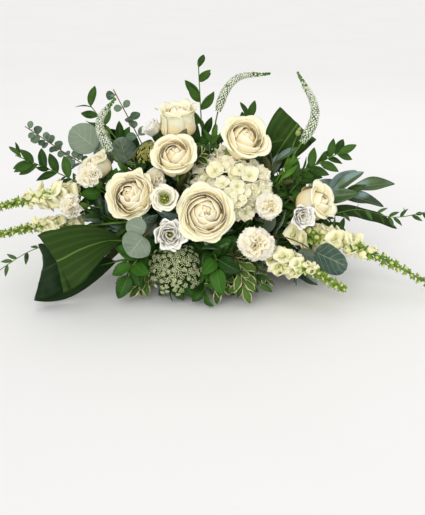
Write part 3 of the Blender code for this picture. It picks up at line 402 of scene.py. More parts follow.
@dataclass(frozen=True)
class Habit:
    """How a kind carries its leaves: in pairs or singly, how wide they stand out, and which way they face."""

    form: LeafForm
    pairs: bool
    spread: float
    quarter_turns: bool = False
    taper: float = 0.25
    end_leaf: bool = True


HABITS: dict[Kind, Habit] = {
    Kind.RUSCUS: Habit(LeafForm(46, 19, 0.45, 0.85, 0.4, 0.25), False, 0.75),
    Kind.GUNNII: Habit(LeafForm(20, 17, 0.52, 0.55, 0.3, 0.2, 2.5), True, 1.15, True, 0.5),
    Kind.SILVER_DOLLAR: Habit(LeafForm(56, 54, 0.5, 0.52, 0.2, 0.1, 10.0), False, 0.8, False, 0.0),
    Kind.SALAL: Habit(LeafForm(54, 33, 0.42, 0.7, 0.55, 0.25, 4.0), False, 0.8, False, 0.15),
    Kind.PITTOSPORUM: Habit(LeafForm(36, 16, 0.6, 0.75, 0.5, 0.2), False, 0.75, True, 0.1),
    Kind.MAGNOLIA: Habit(LeafForm(96, 31, 0.52, 0.85, 0.35, 0.45, 6.0), False, 0.5, False, 0.1),
    Kind.JASMINE: Habit(LeafForm(24, 8, 0.42, 0.9, 0.3, 0.3), False, 0.75, False, 0.1),
    Kind.VERONICA: Habit(LeafForm(40, 11, 0.4, 0.9, 0.5, 0.3), True, 0.55, True, 0.2, False),
}


MORE_LEAVES: dict[Kind, int] = {
    Kind.RUSCUS: 16,
    Kind.GUNNII: 22,
    Kind.SILVER_DOLLAR: 4,
    Kind.SALAL: 9,
    Kind.PITTOSPORUM: 26,
    Kind.MAGNOLIA: 8,
    Kind.JASMINE: 18,
    Kind.VERONICA: 7,
}

AIRY = ("ruscus_top", "gunnii_top", "ruscus_high_left", "jasmine_left")

WINGS = (((-252, -96, 96), (-150, 10, 186)), ((150, -88, 74), (258, 30, 160)))

SPRIG_KINDS = (Kind.RUSCUS, Kind.SALAL, Kind.RUSCUS, Kind.PITTOSPORUM, Kind.SALAL, Kind.RUSCUS, Kind.MAGNOLIA)


def sprig_cuttings() -> Iterator[Cutting]:
    """Short leafy stems that close the gaps: a dome of them round the holder and a skirt over its rim.

    Returns:
        Each sprig as a cutting with only its tip as its way.
    """
    draw = random.Random("sprigs")
    for i, out in enumerate(dome_places(190, 1.66)):
        tip = out * (220, 132, 212) * draw.uniform(0.66, 1.0) + (-8, -10, 62)
        kind = SPRIG_KINDS[i % len(SPRIG_KINDS)]
        facing = tuple(unit(out + (0, -0.35 if out[1] < 0.3 else 0.1, 0.3)))
        yield Cutting(f"sprig_{kind.value}_{i + 1}", kind, (tuple(tip),), facing, draw.uniform(0.62, 0.95), 10, 0.3)
    for i in range(84):
        angle = GOLDEN_TURN * i
        out = np.array([math.cos(angle), math.sin(angle), 0.0])
        tip = out * (164, 142, 0) * draw.uniform(0.78, 1.1) + (0, -10, draw.uniform(10, 58))
        kind = SPRIG_KINDS[(i * 3 + 1) % len(SPRIG_KINDS)]
        yield Cutting(f"skirt_{kind.value}_{i + 1}", kind, (tuple(tip),), tuple(out + (0, 0, 0.5)), 0.8, 9, 0.45)
    for low, high in WINGS:
        for i in range(30):
            tip = tuple(draw.uniform(a, b) for a, b in zip(low, high))
            kind = SPRIG_KINDS[(i * 2) % len(SPRIG_KINDS)]
            facing = (0.3 * math.copysign(1, tip[0]), -0.8, 0.55)
            yield Cutting(f"wing_{kind.value}_{round(tip[0])}_{i + 1}", kind, (tip,), facing, 0.85, 10, 0.5)


def rose_cutting(name: str, way: tuple, facing: tuple, size: float, depth: float = 1.0) -> Cutting:
    """A rose on its stem."""
    return Cutting(name, Kind.ROSE, way, facing, size, thickness=2.6, depth=depth)


CUTTINGS: tuple[Cutting, ...] = (
    rose_cutting("rose_front", ((-11, -146, 160),), (0.06, -0.93, 0.36), 51),
    rose_cutting("rose_middle", ((-64, -98, 248),), (-0.12, -0.72, 0.68), 42),
    rose_cutting("rose_top", ((-61, -20, 298),), (-0.04, -0.22, 0.97), 37, 1.4),
    rose_cutting("rose_right", ((40, 12, 160), (48, -2, 222), (58, -68, 271)), (0.3, -0.72, 0.62), 46),
    rose_cutting("rose_left", ((-138, -114, 182),), (-0.22, -0.85, 0.46), 45),
    rose_cutting("rose_far_right", ((186, -64, 154),), (0.72, -0.56, 0.42), 39, 1.3),
    rose_cutting("rose_far_left", ((-208, -22, 212),), (-0.5, -0.24, 0.83), 32, 1.1),
    Cutting("hydrangea", Kind.HYDRANGEA, ((31, -64, 173),), (0.14, -0.84, 0.52), 62, 33, thickness=3.2),
    Cutting("carnation_high_left", Kind.CARNATION, ((-206, -78, 202),), (-0.5, -0.5, 0.7), 27),
    Cutting("carnation_low_left", Kind.CARNATION, ((-236, -92, 156),), (-0.75, -0.6, 0.2), 26),
    Cutting("carnation_middle", Kind.CARNATION, ((-98, -74, 196),), (-0.05, -0.72, 0.7), 23),
    Cutting("carnation_right", Kind.CARNATION, ((74, -70, 112), (93, -120, 164)), (0.22, -0.93, 0.28), 27),
    Cutting("carnation_low_right", Kind.CARNATION, ((72, -142, 106),), (0.1, -0.98, 0.15), 36),
    Cutting("lisianthus_open", Kind.LISIANTHUS, ((-79, -136, 182),), (0.02, -0.93, 0.36), 22),
    Cutting("lisianthus_front", Kind.LISIANTHUS, ((-70, -146, 122),), (0.1, -0.95, 0.3), 26),
    Cutting("lisianthus_right", Kind.LISIANTHUS, ((152, -112, 143),), (0.2, -0.93, 0.1), 21),
    Cutting("lisianthus_top", Kind.LISIANTHUS, ((-108, -8, 275),), (-0.6, -0.3, 0.7), 18),
    Cutting("bud_right", Kind.BUD, ((124, -28, 205), (149, -28, 269)), size=8, thickness=1.2),
    Cutting("bud_left", Kind.BUD, ((-130, 0, 190), (-190, 4, 262)), size=8, thickness=1.2),
    Cutting(
        "snapdragon_upper_left", Kind.SNAPDRAGON,
        ((-150, -40, 140), (-236, -56, 166), (-300, -80, 166), (-376, -92, 150)),
        size=22, count=10, start=0.5, thickness=2.2,
    ),
    Cutting(
        "snapdragon_lower_left", Kind.SNAPDRAGON,
        ((-136, -62, 100), (-232, -70, 112), (-300, -92, 118), (-372, -102, 106)),
        size=20, count=10, start=0.5, thickness=2.2,
    ),
    Cutting(
        "snapdragon_front_right", Kind.SNAPDRAGON, ((100, -108, 78), (150, -148, 66), (218, -172, 36)),
        size=22, count=10, start=0.25, thickness=2.2,
    ),
    Cutting(
        "snapdragon_long_right", Kind.SNAPDRAGON, ((126, -72, 100), (240, -100, 86), (376, -126, 24)),
        size=24, count=14, start=0.24, thickness=2.2,
    ),
    Cutting(
        "veronica_left", Kind.VERONICA,
        ((-122, -36, 160), (-161, -54, 222), (-192, -58, 290), (-164, -50, 334)),
        size=7.2, start=0.5, thickness=1.5,
    ),
    Cutting(
        "veronica_middle", Kind.VERONICA, ((0, 8, 180), (7, -10, 292), (38, -20, 360), (100, -20, 371)),
        size=6.8, start=0.5, thickness=1.5,
    ),
    Cutting(
        "veronica_right", Kind.VERONICA, ((98, -16, 160), (142, -36, 232), (176, -38, 305), (145, -25, 375)),
        size=7.6, start=0.46, thickness=1.5,
    ),
    Cutting("lace_front", Kind.LACE, ((-63, -146, 66),), (-0.02, -0.84, 0.54), 50, 19),
    Cutting("lace_back", Kind.LACE, ((-112, -42, 240),), (-0.35, -0.55, 0.76), 26, 9),
    Cutting(
        "gunnii_left", Kind.GUNNII, ((-130, 12, 148), (-236, 14, 204), (-326, -26, 280)),
        (0, -0.8, 0.6), 1.0, 6, 0.52, 1.3,
    ),
    Cutting(
        "gunnii_top", Kind.GUNNII, ((-95, 14, 170), (-126, 10, 240), (-174, 4, 340)),
        (0, -0.9, 0.3), 1.15, 6, 0.5, 1.3,
    ),
    Cutting(
        "silver_dollar_left", Kind.SILVER_DOLLAR, ((-120, 24, 160), (-176, 24, 208), (-206, 22, 226)),
        (0, -0.96, 0.2), 1.1, 3, 0.68, 1.5,
    ),
    Cutting(
        "silver_dollar_front", Kind.SILVER_DOLLAR, ((-92, -104, 112), (-104, -148, 128), (-110, -162, 126)),
        (0, -0.96, 0.25), 0.95, 2, 0.6, 1.2,
    ),
    Cutting(
        "silver_dollar_right", Kind.SILVER_DOLLAR, ((112, -80, 94), (148, -104, 94), (168, -124, 86)),
        (0, -0.94, 0.3), 1.25, 3, 0.5, 1.4,
    ),
    Cutting(
        "ruscus_left", Kind.RUSCUS, ((-140, -20, 126), (-244, -36, 186), (-338, -58, 236)),
        (0, -0.8, 0.6), 1.0, 8, 0.52, 1.3,
    ),
    Cutting(
        "ruscus_high_left", Kind.RUSCUS, ((-100, 34, 160), (-158, 30, 226), (-222, 26, 312)),
        (0, -0.95, 0.2), 1.0, 8, 0.5, 1.3,
    ),
    Cutting(
        "ruscus_top", Kind.RUSCUS, ((-14, 16, 180), (-20, 18, 280), (-25, 20, 386)),
        (0, -0.95, 0.1), 1.0, 7, 0.5, 1.3,
    ),
    Cutting(
        "ruscus_right", Kind.RUSCUS, ((110, -6, 150), (170, -14, 200), (228, -20, 234)),
        (0, -0.9, 0.4), 1.0, 8, 0.45, 1.3,
    ),
    Cutting("ruscus_back", Kind.RUSCUS, ((40, 60, 190), (70, 80, 280)), (0.1, 0.9, 0.3), 1.0, 6, 0.3, 1.3),
    Cutting(
        "magnolia_right", Kind.MAGNOLIA, ((120, 4, 118), (190, 6, 140), (246, 4, 156)),
        (0, -0.55, 0.83), 1.0, 7, 0.4, 2.0,
    ),
    Cutting(
        "salal_front_left", Kind.SALAL, ((-98, -92, 74), (-128, -128, 70), (-140, -150, 50)),
        (0, -0.85, 0.5), 0.9, 6, 0.4, 1.4,
    ),
    Cutting(
        "salal_front", Kind.SALAL, ((0, -106, 78), (6, -140, 80), (6, -158, 66)),
        (0, -0.9, 0.45), 0.95, 6, 0.4, 1.4,
    ),
    Cutting("salal_right", Kind.SALAL, ((52, -84, 108), (60, -116, 132)), (0, -0.9, 0.4), 1.0, 4, 0.35, 1.4),
    Cutting(
        "salal_back_left", Kind.SALAL, ((-80, 70, 104), (-150, 92, 112)),
        (-0.3, 0.7, 0.6), 1.15, 5, 0.3, 1.4,
    ),
    Cutting("salal_back", Kind.SALAL, ((4, 92, 84), (10, 124, 70)), (0.1, 0.9, 0.45), 1.15, 5, 0.3, 1.4),
    Cutting(
        "salal_back_right", Kind.SALAL, ((90, 60, 110), (150, 86, 120)),
        (0.3, 0.75, 0.5), 1.1, 5, 0.3, 1.4,
    ),
    Cutting(
        "pittosporum_front", Kind.PITTOSPORUM, ((36, -104, 72), (46, -140, 56), (52, -158, 34)),
        (0, -0.9, 0.45), 1.0, 9, 0.4, 1.4,
    ),
    Cutting(
        "pittosporum_low", Kind.PITTOSPORUM, ((14, -100, 64), (14, -130, 48), (10, -148, 30)),
        (0, -0.9, 0.45), 1.0, 8, 0.4, 1.3,
    ),
    Cutting(
        "pittosporum_left", Kind.PITTOSPORUM, ((-86, -86, 58), (-106, -114, 42), (-124, -140, 28)),
        (0, -0.85, 0.5), 0.9, 8, 0.5, 1.3,
    ),
    Cutting(
        "pittosporum_middle", Kind.PITTOSPORUM, ((-32, -20, 170), (-25, -56, 234)),
        (0, -0.8, 0.6), 0.9, 8, 0.45, 1.3,
    ),
    Cutting(
        "jasmine_left", Kind.JASMINE, ((-140, -54, 78), (-220, -74, 84), (-300, -106, 84), (-372, -132, 46)),
        (0, -0.8, 0.6), 1.0, 10, 0.5, 1.0,
    ),
    Cutting(
        "jasmine_right", Kind.JASMINE, ((140, -30, 104), (250, -44, 134), (318, -56, 124), (378, -60, 136)),
        (0, -0.8, 0.6), 1.0, 11, 0.4, 1.0,
    ),
)


@dataclass(frozen=True)
class Ribbon:
    """A strap leaf bent back on itself, with its midrib's line after the stalk and its cross directions."""

    name: str
    stalk: tuple
    midrib: tuple
    across: tuple
    width: float
    peak: float = 0.5

    def grid(self, rows: int, cols: int) -> list[Array]:
        """Rows of points on the leaf, from the stalk to the tip.

        Args:
            rows: faces along it.
            cols: faces across it.

        Returns:
            An array of points for each row.
        """
        first = unit(np.subtract(self.midrib[1], self.midrib[0]))
        last = unit(np.subtract(self.midrib[-1], self.midrib[-2]))
        line = flowing_line(self.midrib, first, last)
        steps = np.linalg.norm(np.diff(line, axis=0), axis=1)
        along = np.concatenate([[0], np.cumsum(steps)]) / steps.sum()
        stations = np.linspace(0, 1, rows + 1)
        centre = np.stack([np.interp(stations, along, line[:, i]) for i in range(3)], 1)
        ahead = np.gradient(centre, axis=0)
        power = math.log(0.5) / math.log(self.peak)
        ends = np.linspace(0, 1, len(self.across))
        side = np.stack([np.interp(stations, ends, [a[i] for a in self.across]) for i in range(3)], 1)
        found = []
        for point, way, cross, s in zip(centre, ahead, side, stations):
            cross = unit(cross - unit(way) * np.dot(cross, unit(way)))
            half = 0.5 * self.width * max(math.sin(math.pi * min(max(s, 0.012), 0.988) ** power), 0.0) ** 0.7
            up = np.cross(unit(way), cross)
            offsets = np.linspace(-1, 1, cols + 1) if 0 < s < 1 else np.array([0.0])
            found.append(np.array([point + cross * half * o + up * 0.10 * half * abs(o) for o in offsets]))
        return found


RIBBONS: tuple[Ribbon, ...] = (
    Ribbon(
        "aspidistra_left", ((-105, -84, 94),),
        (
            (-152, -112, 100), (-179, -138, 108), (-215, -166, 104), (-243, -182, 93), (-252, -184, 90),
            (-246, -172, 88), (-217, -157, 92), (-192, -143, 93),
        ),
        ((0.3, -0.1, -1), (0.36, -0.05, -1), (0.38, 0, -1), (0.38, 0, -1), (0.3, 0, -1)), 104, 0.62,
    ),
    Ribbon(
        "aspidistra_low_left", ((-96, -72, 64),),
        (
            (-166, -94, 56), (-205, -110, 52), (-253, -128, 51), (-278, -139, 54), (-285, -146, 58),
            (-274, -153, 66), (-251, -151, 79), (-234, -144, 86),
        ),
        ((-0.1, -0.25, -1), (-0.2, -0.25, -1), (-0.26, -0.3, -1), (-0.26, -0.2, -1), (-0.1, 0, -1)),
        100, 0.6,
    ),
    Ribbon(
        "aspidistra_right", ((72, 16, 140),),
        (
            (96, 14, 182), (122, 18, 230), (146, 22, 266), (154, 28, 274),
            (150, 40, 262), (132, 42, 226), (112, 38, 190),
        ),
        ((1, 0.1, -0.3), (1, 0.0, -1), (1, 0.0, -1), (1, 0.1, -0.5)), 88, 0.5,
    ),
    Ribbon(
        "aspidistra_back_left", ((-78, 20, 130),),
        ((-112, 40, 168), (-150, 50, 215), (-190, 58, 258)),
        ((0.7, 0.2, 0.6), (0.7, 0.2, 0.6)), 44, 0.5,
    ),
    Ribbon(
        "aspidistra_far_right", ((100, -22, 92),),
        ((150, -18, 114), (220, -20, 128), (290, -26, 118), (330, -30, 94)),
        ((0.1, -0.75, 0.6), (0.1, -0.75, 0.6)), 50, 0.55,
    ),
    Ribbon(
        "aspidistra_back", ((-20, 70, 120),),
        ((-30, 92, 160), (-60, 108, 220), (-80, 112, 262), (-84, 122, 264), (-76, 128, 240), (-56, 126, 190)),
        ((1, 0.1, 0.2), (1, 0.1, 0.4), (1, 0.1, 0.4)), 90, 0.5,
    ),
)


@dataclass
class Stem:
    """The line of a cut stem: inner is its lower end in the hole, and entry is at the foam's surface."""

    inner: Array
    entry: Array
    line: Array
    radius: float


class Space:
    """What is already placed, so that a new stem or leaf is turned or bent until it is clear."""

    def __init__(self) -> None:
        """An empty space."""
        self.points = np.zeros((0, 3))
        self.radii = np.zeros(0)
        self.owners = np.zeros(0, int)
        self.bodies: list[tuple] = []
        self.filled = np.zeros(((BOX_HIGH - BOX_LOW) / CELL).astype(int) + 1, bool)
        self.settled: tuple[Array, ...] = ()

    def add_body(self, centre: Array, axis: Sequence[float], side: float, half: float, owner: int) -> None:
        """Keeps an ellipsoid with its half length along axis."""
        self.bodies.append((np.array(centre, float), unit(axis), side, half, owner))

    def add_points(self, points: Array, radius: float, owner: int) -> None:
        """Keeps points with a radius round each.

        Args:
            points: rows of x, y and z.
            radius: kept free round each.
            owner: the number of the cutting they belong to.
        """
        self.points = np.concatenate([self.points, points])
        self.radii = np.concatenate([self.radii, np.full(len(points), radius)])
        self.owners = np.concatenate([self.owners, np.full(len(points), owner)])

    def meets_body(self, points: Array, gap: float, owner: int) -> bool:
        """Whether points come nearer than gap to another owner's body.

        Args:
            points: rows of x, y and z.
            gap: the least distance.
            owner: the number of the cutting they belong to.

        Returns:
            True when one does.
        """
        for centre, axis, side, half, of in self.bodies:
            if of == owner:
                continue
            away = points - centre
            along = away @ axis
            across = np.sqrt(np.maximum((away**2).sum(1) - along**2, 0))
            if (((across / (side + gap)) ** 2 + (along / (half + gap)) ** 2) < 1).any():
                return True
        return False

    def cells(self, points: Array) -> tuple[Array, Array, Array]:
        """The cells of the coarse grid that points lie in."""
        found = ((points - BOX_LOW) / CELL).astype(int)
        return tuple(np.clip(found[:, i], 0, size - 1) for i, size in enumerate(self.filled.shape))

    def fill(self, points: Array) -> None:
        """Marks the cells of points as taken."""
        self.filled[self.cells(points)] = True
        self.settled = self.settled or tuple(np.array(row) for row in zip(*self.bodies))

    def roomy(self, points: Array, owner: int, touching: int = 0) -> bool:
        """Whether points keep inside the box and, but for a few, off all that is placed, by the coarse grid.

        Args:
            points: rows of x, y and z.
            owner: the number of the cutting they belong to.
            touching: how many taken cells are let pass.

        Returns:
            True when they do.
        """
        if (points < BOX_LOW).any() or (points > BOX_HIGH).any() or in_bowl(points, 1.0) or in_foam(points, 1.0):
            return False
        return not (self.filled[self.cells(points)].sum() > touching or self.near_bloom(points, owner))

    def near_bloom(self, points: Array, owner: int) -> bool:
        """Whether any point lies in another's bloom or stands right before the face of one.

        Args:
            points: rows of x, y and z.
            owner: the number of the cutting they belong to.

        Returns:
            True when one does.
        """
        reach = np.linalg.norm(points - points.mean(0), axis=1).max() + 74
        near = np.linalg.norm(self.settled[0] - points.mean(0), axis=1) < reach + np.maximum(*self.settled[2:4])
        centres, axes, sides, halves, owners = (row[near] for row in self.settled)
        away = points[:, None] - centres
        along = (away * axes).sum(2)
        across = np.sqrt(np.maximum((away**2).sum(2) - along**2, 0))
        inside = ((across / (sides + 0.5)) ** 2 + (along / (halves + 0.5)) ** 2 < 1) & (owners != owner)
        before = (along > 0) & (along < halves + 70) & (across < 0.8 * sides) & (sides > BLOOM_LEAST)
        return bool(inside.any() or before.any())

    def meets_points(self, points: Array, gap: float, owner: int, own_too: bool) -> bool:
        """Whether points come nearer than gap to points that are kept.

        Args:
            points: rows of x, y and z.
            gap: the least distance.
            owner: the number of the cutting they belong to.
            own_too: whether the owner's own points count.

        Returns:
            True when one does.
        """
        low, high = points.min(0) - 9, points.max(0) + 9
        near = ((self.points > low) & (self.points < high)).all(1)
        if not own_too:
            near &= self.owners != owner
        if not near.any():
            return False
        apart = np.linalg.norm(points[:, None] - self.points[None, near], axis=2)
        return bool((apart < gap + self.radii[near]).any())

    def clear(self, points: Array, gap: float, owner: int, own_too: bool = True) -> bool:
        """Whether points keep gap from all that is placed, the bowl, the foam and the table.

        Args:
            points: rows of x, y and z.
            gap: the least distance.
            owner: the number of the cutting they belong to.
            own_too: whether the owner's own points count.

        Returns:
            True when they do.
        """
        if (points[:, 2] < FLOOR_GAP).any() or in_bowl(points, gap) or in_foam(points, gap):
            return False
        return not self.meets_body(points, gap, owner) and not self.meets_points(points, gap, owner, own_too)


def in_bowl(points: Array, gap: float) -> bool:
    """Whether any point is nearer than gap to the bowl."""
    around = np.hypot(points[:, 0], points[:, 1]) < BOWL_RIM_RADIUS + 2 + gap
    return bool((around & (points[:, 2] < BOWL_HEIGHT + 2 + gap)).any())


def in_foam(points: Array, gap: float) -> bool:
    """Whether any point is nearer than gap to the foam."""
    across = (np.abs(points[:, 0]) < FOAM_HALF_X + gap) & (np.abs(points[:, 1]) < FOAM_HALF_Y + gap)
    return bool((across & (points[:, 2] < FOAM_TOP + gap)).any())


def foam_exit(start: Array, direction: Array) -> float:
    """How far along direction from start the foam's surface lies.

    Args:
        start: a point inside.
        direction: which way.

    Returns:
        The distance in millimetres.
    """
    reach = []
    for axis, side in ((0, FOAM_HALF_X), (1, FOAM_HALF_Y)):
        if abs(direction[axis]) > 1e-6:
            reach.append((math.copysign(side, direction[axis]) - start[axis]) / direction[axis])
    if direction[2] > 1e-6:
        reach.append((FOAM_TOP - start[2]) / direction[2])
    corner = FOAM_HALF_X + FOAM_HALF_Y - FOAM_CHAMFER
    lean = abs(direction[0]) + abs(direction[1])
    here = math.copysign(start[0], start[0] * direction[0]) + math.copysign(start[1], start[1] * direction[1])
    reach.append((corner - here) / max(lean, 1e-6))
    return min(r for r in reach if r > 0)


def spike_stations(cutting: Cutting, number: int) -> Iterator[tuple[float, Array]]:
    """Shares from 0 to 1 and points along the flowering part of a spike, read from its way alone.

    Args:
        cutting: the cut stem.
        number: how many points.

    Returns:
        Pairs of share and point.
    """
    ahead = unit(np.subtract(cutting.way[-1], cutting.way[-2]))
    line = flowing_line(cutting.way, unit(np.subtract(cutting.way[1], cutting.way[0])), ahead)
    for i in range(number):
        share = i / (number - 1)
        yield share, along_line(line, cutting.start + (1 - cutting.start) * share)[0]


def spike_swell(share: float) -> float:
    """Width of a spike at a share of its flowering length, 1 low down and less towards the tip."""
    return 1 - 0.72 * share**1.6


def stem_share(cutting: Cutting, stem: Stem, share: float) -> float:
    """The share of a stem's whole line that lies at a share of its flowering part.

    Args:
        cutting: the cut stem.
        stem: its stem.
        share: a share of its flowering part.

    Returns:
        The share of the whole line.
    """
    way = np.array(cutting.way, float)
    line = flowing_line(way, unit(way[1] - way[0]), unit(way[-1] - way[-2]))
    flowering = np.linalg.norm(np.diff(line, axis=0), axis=1).sum() * (1 - cutting.start)
    whole = np.linalg.norm(np.diff(stem.line, axis=0), axis=1).sum()
    return 1 - flowering / whole * (1 - share)


class Layout:
    """Works out where every stem and leaf lies, each clear of the others, in the order of the tables."""

    LEAD_OUT = 6.0
    STEM_TRIES = 150
    LEAF_TRIES = 26
    SPRIG_TRIES = 14

    def __init__(self) -> None:
        """Lays blooms first, then strap leaves, stems and leaves."""
        self.space = Space()
        self.stems: dict[str, Stem] = {}
        self.leaves: dict[str, list[Leaf]] = {}
        self.owner = {c.name: i for i, c in enumerate((*CUTTINGS, *RIBBONS))}
        for cutting in CUTTINGS:
            self.reserve(cutting)
        for ribbon in RIBBONS:
            for row in ribbon.grid(70, 24):
                self.space.add_points(row, 1.2, self.owner[ribbon.name])
        for ribbon in RIBBONS:
            ahead = unit(np.subtract(ribbon.midrib[1], ribbon.midrib[0]))
            self.route(ribbon.name, (*ribbon.stalk, ribbon.midrib[0]), ahead, 2.4)
        for cutting in CUTTINGS:
            self.route(cutting.name, cutting.way, self.arrival(cutting), cutting.thickness)
        for cutting in CUTTINGS:
            if cutting.kind in HABITS:
                self.leaves[cutting.name] = self.set_leaves(cutting)
        self.sprigs: list[Cutting] = []
        self.space.fill(self.space.points)
        for cutting in CUTTINGS:
            if cutting.kind in MORE_LEAVES:
                number = MORE_LEAVES[cutting.kind] if cutting.name not in AIRY else MORE_LEAVES[cutting.kind] // 4
                self.leaves[cutting.name] += self.more_leaves(cutting, number)
        for sprig in sprig_cuttings():
            self.grow_sprig(sprig)

    def reserve(self, cutting: Cutting) -> None:
        """Keeps the room of a bloom, or of the florets along a spike.

        Args:
            cutting: the cut stem.
        """
        owner = self.owner[cutting.name]
        if cutting.kind in BLOOMS:
            form, facing = BLOOMS[cutting.kind], unit(cutting.facing)
            half = (form.back + form.front) * cutting.size / 2
            centre = cutting.tip + facing * (form.front - form.back) * cutting.size / 2
            self.space.add_body(centre, facing, cutting.size * 1.04, half * 1.14, owner)
        elif cutting.kind in (Kind.SNAPDRAGON, Kind.VERONICA):
            wide = 1.3 if cutting.kind is Kind.SNAPDRAGON else 1.4
            for share, point in spike_stations(cutting, 14):
                size = cutting.size * wide * spike_swell(share) + 1
                self.space.add_body(point, (0, 0, 1), size, size, owner)
        elif cutting.kind is Kind.BUD:
            self.space.add_body(cutting.tip, (0, 0, 1), cutting.size * 0.8, cutting.size * 1.4, owner)

    def arrival(self, cutting: Cutting) -> Array:
        """The direction in which a stem reaches its head or tip.

        Args:
            cutting: the cut stem.

        Returns:
            A unit direction.
        """
        if cutting.kind in BLOOMS:
            return unit(cutting.facing)
        if len(cutting.way) == 1:
            return unit(cutting.tip - (0, 0, STEM_FOCUS_HEIGHT))
        return unit(np.subtract(cutting.way[-1], cutting.way[-2]))

    def route(self, name: str, way: tuple, arrival: Array, radius: float) -> None:
        """Finds a hole in the foam and a line from it along way that meets nothing.

        Args:
            name: the cutting or strap leaf.
            way: the points it runs through.
            arrival: its direction at its end.
            radius: the stem's radius.
        """
        owner, draw = self.owner[name], random.Random(name)
        cutting = next((c for c in CUTTINGS if c.name == name), None)
        end = np.array(way[-1], float)
        if cutting is not None and cutting.kind in BLOOMS:
            end = end - arrival * BLOOMS[cutting.kind].back * cutting.size * 0.9
        fixed = [np.array(p, float) for p in way[:-1]]
        for attempt in range(self.STEM_TRIES):
            stem = self.stem_line(end, fixed, arrival, radius, 0.28 * attempt, draw)
            outside = stem.line[3:]
            hole = np.linspace(stem.inner, stem.line[2], 10)
            if self.space.meets_points(hole, radius + STEM_GAP, owner, False):
                continue
            if self.space.clear(outside, radius + STEM_GAP, owner, own_too=False):
                break
        else:
            raise ValueError(f"no clear way for {name}")
        self.space.add_points(hole, radius, owner)
        self.space.add_points(outside, radius, owner)
        self.stems[name] = stem

    def stem_line(
        self, end: Array, fixed: list[Array], arrival: Array, radius: float, loose: float, draw: random.Random
    ) -> Stem:
        """One try at a stem.

        Args:
            end: its last point.
            fixed: the points before it.
            arrival: its direction at its end.
            radius: its radius.
            loose: how far its points may stray.
            draw: the source of chance.

        Returns:
            The stem.
        """
        shake = [np.array([draw.gauss(0, 1) for _ in range(3)]) * loose for _ in range(3)]
        toward = fixed[0] if fixed else end - arrival * 0.35 * np.linalg.norm(end)
        toward = toward + shake[0]
        focus = np.array([0.34 * toward[0], 0.3 * toward[1], STEM_FOCUS_HEIGHT]) + shake[1] * (0.5, 0.5, 0.25)
        focus[0] = min(max(focus[0], -44), 44)
        focus[1] = min(max(focus[1], -32), 32)
        via = []
        around = math.hypot(toward[0], toward[1])
        low = (toward[2] - focus[2]) * RIM_CLEAR_RADIUS < (RIM_CLEAR_HEIGHT + 8 - focus[2]) * max(around, 1)
        if around > BOWL_RIM_RADIUS * 0.8 and low:
            over = np.array([toward[0], toward[1], 0.0]) * (RIM_CLEAR_RADIUS / around)
            over[2] = RIM_CLEAR_HEIGHT + 4 + abs(shake[2][2])
            if around > RIM_CLEAR_RADIUS + 16:
                via.append(over)
            aim = over
        else:
            aim = toward
        direction = unit(aim - focus)
        reach = foam_exit(focus, direction)
        entry = focus + direction * reach
        if entry[2] < BOWL_HEIGHT + 5:
            entry[2] = BOWL_HEIGHT + 6 + abs(shake[2][2]) * 0.6
        if entry[2] > FOAM_TOP - 5 and abs(entry[2] - FOAM_TOP) > 1e-6:
            entry[2] = FOAM_TOP - 6
        inner = entry - direction * HOLE_DEPTH
        out = entry + direction * self.LEAD_OUT
        points = [out, *via, *[f + shake[2] * 0.5 for f in fixed[:1]], *fixed[1:], end]
        line = flowing_line(points, direction, arrival)
        return Stem(inner, entry, np.concatenate([[inner, entry], line]), radius)

    def set_leaves(self, cutting: Cutting) -> list[Leaf]:
        """The leaves along a stem, each turned about until it is clear, and left out if it never is.

        Args:
            cutting: the cut stem.

        Returns:
            The leaves that found room.
        """
        habit, stem = HABITS[cutting.kind], self.stems[cutting.name]
        owner, draw = self.owner[cutting.name], random.Random(cutting.name)
        spike = cutting.kind is Kind.VERONICA
        first, last = (0.28, cutting.start) if spike else (cutting.start, 0.97)
        size = 1.0 if spike else cutting.size
        number = 2 if spike else cutting.count
        made = []
        for i in range(number):
            share = first + (last - first) * i / max(number - 1, 1)
            point, ahead = along_line(stem.line, share)
            sides = (0, 1) if habit.pairs else (i % 2,)
            if habit.end_leaf and i == number - 1:
                sides = (2,)
            for side in sides:
                grown = habit.form.scaled(size * (1 - habit.taper * i / number))
                leaf = self.clear_leaf(cutting.facing, habit, grown, point, ahead, side, i, draw, owner)
                if leaf is not None:
                    self.space.add_points(leaf.samples(0.1), 0.8, owner)
                    made.append(leaf)
        return made

    def more_leaves(self, cutting: Cutting, number: int) -> list[Leaf]:
        """Leaves between those of the solid, or all the leaves of a sprig, smaller where room is short.

        Args:
            cutting: the cut stem.
            number: how many are tried.

        Returns:
            The leaves that found room.
        """
        habit, stem = HABITS[cutting.kind], self.stems[cutting.name]
        owner, draw = self.owner[cutting.name], random.Random(cutting.name + " more")
        spike = cutting.kind is Kind.VERONICA
        first, last = (0.2, cutting.start) if spike else (cutting.start - 0.06, 0.99)
        made = []
        for i in range(number):
            share = first + (last - first) * (i + draw.uniform(0.1, 0.9)) / number
            point, ahead = along_line(stem.line, share)
            grown = habit.form.scaled((1.0 if spike else cutting.size) * draw.uniform(0.8, 1.12) * (1.1 - 0.3 * share))
            for attempt in range(self.SPRIG_TRIES):
                loose = 0.25 + 0.12 * attempt
                turn = math.pi * i + (1.2 if habit.quarter_turns else 0.5) * draw.gauss(0, 1) * (0.5 + loose)
                outward = turned_about(frame_of(ahead, cutting.facing)[1], ahead, turn)
                spread = max(habit.spread + draw.gauss(0, 0.5 * loose), 0.1)
                direction = unit(ahead * math.cos(spread) + outward * math.sin(spread))
                normal = turned_about(np.asarray(cutting.facing, float), direction, draw.gauss(0, loose))
                leaf = Leaf(grown.scaled(0.96**attempt), point, frame_of(direction, normal))
                samples = leaf.samples(0.2)
                if self.space.roomy(samples, owner):
                    self.space.fill(leaf.samples(0.3))
                    made.append(leaf)
                    break
        return made

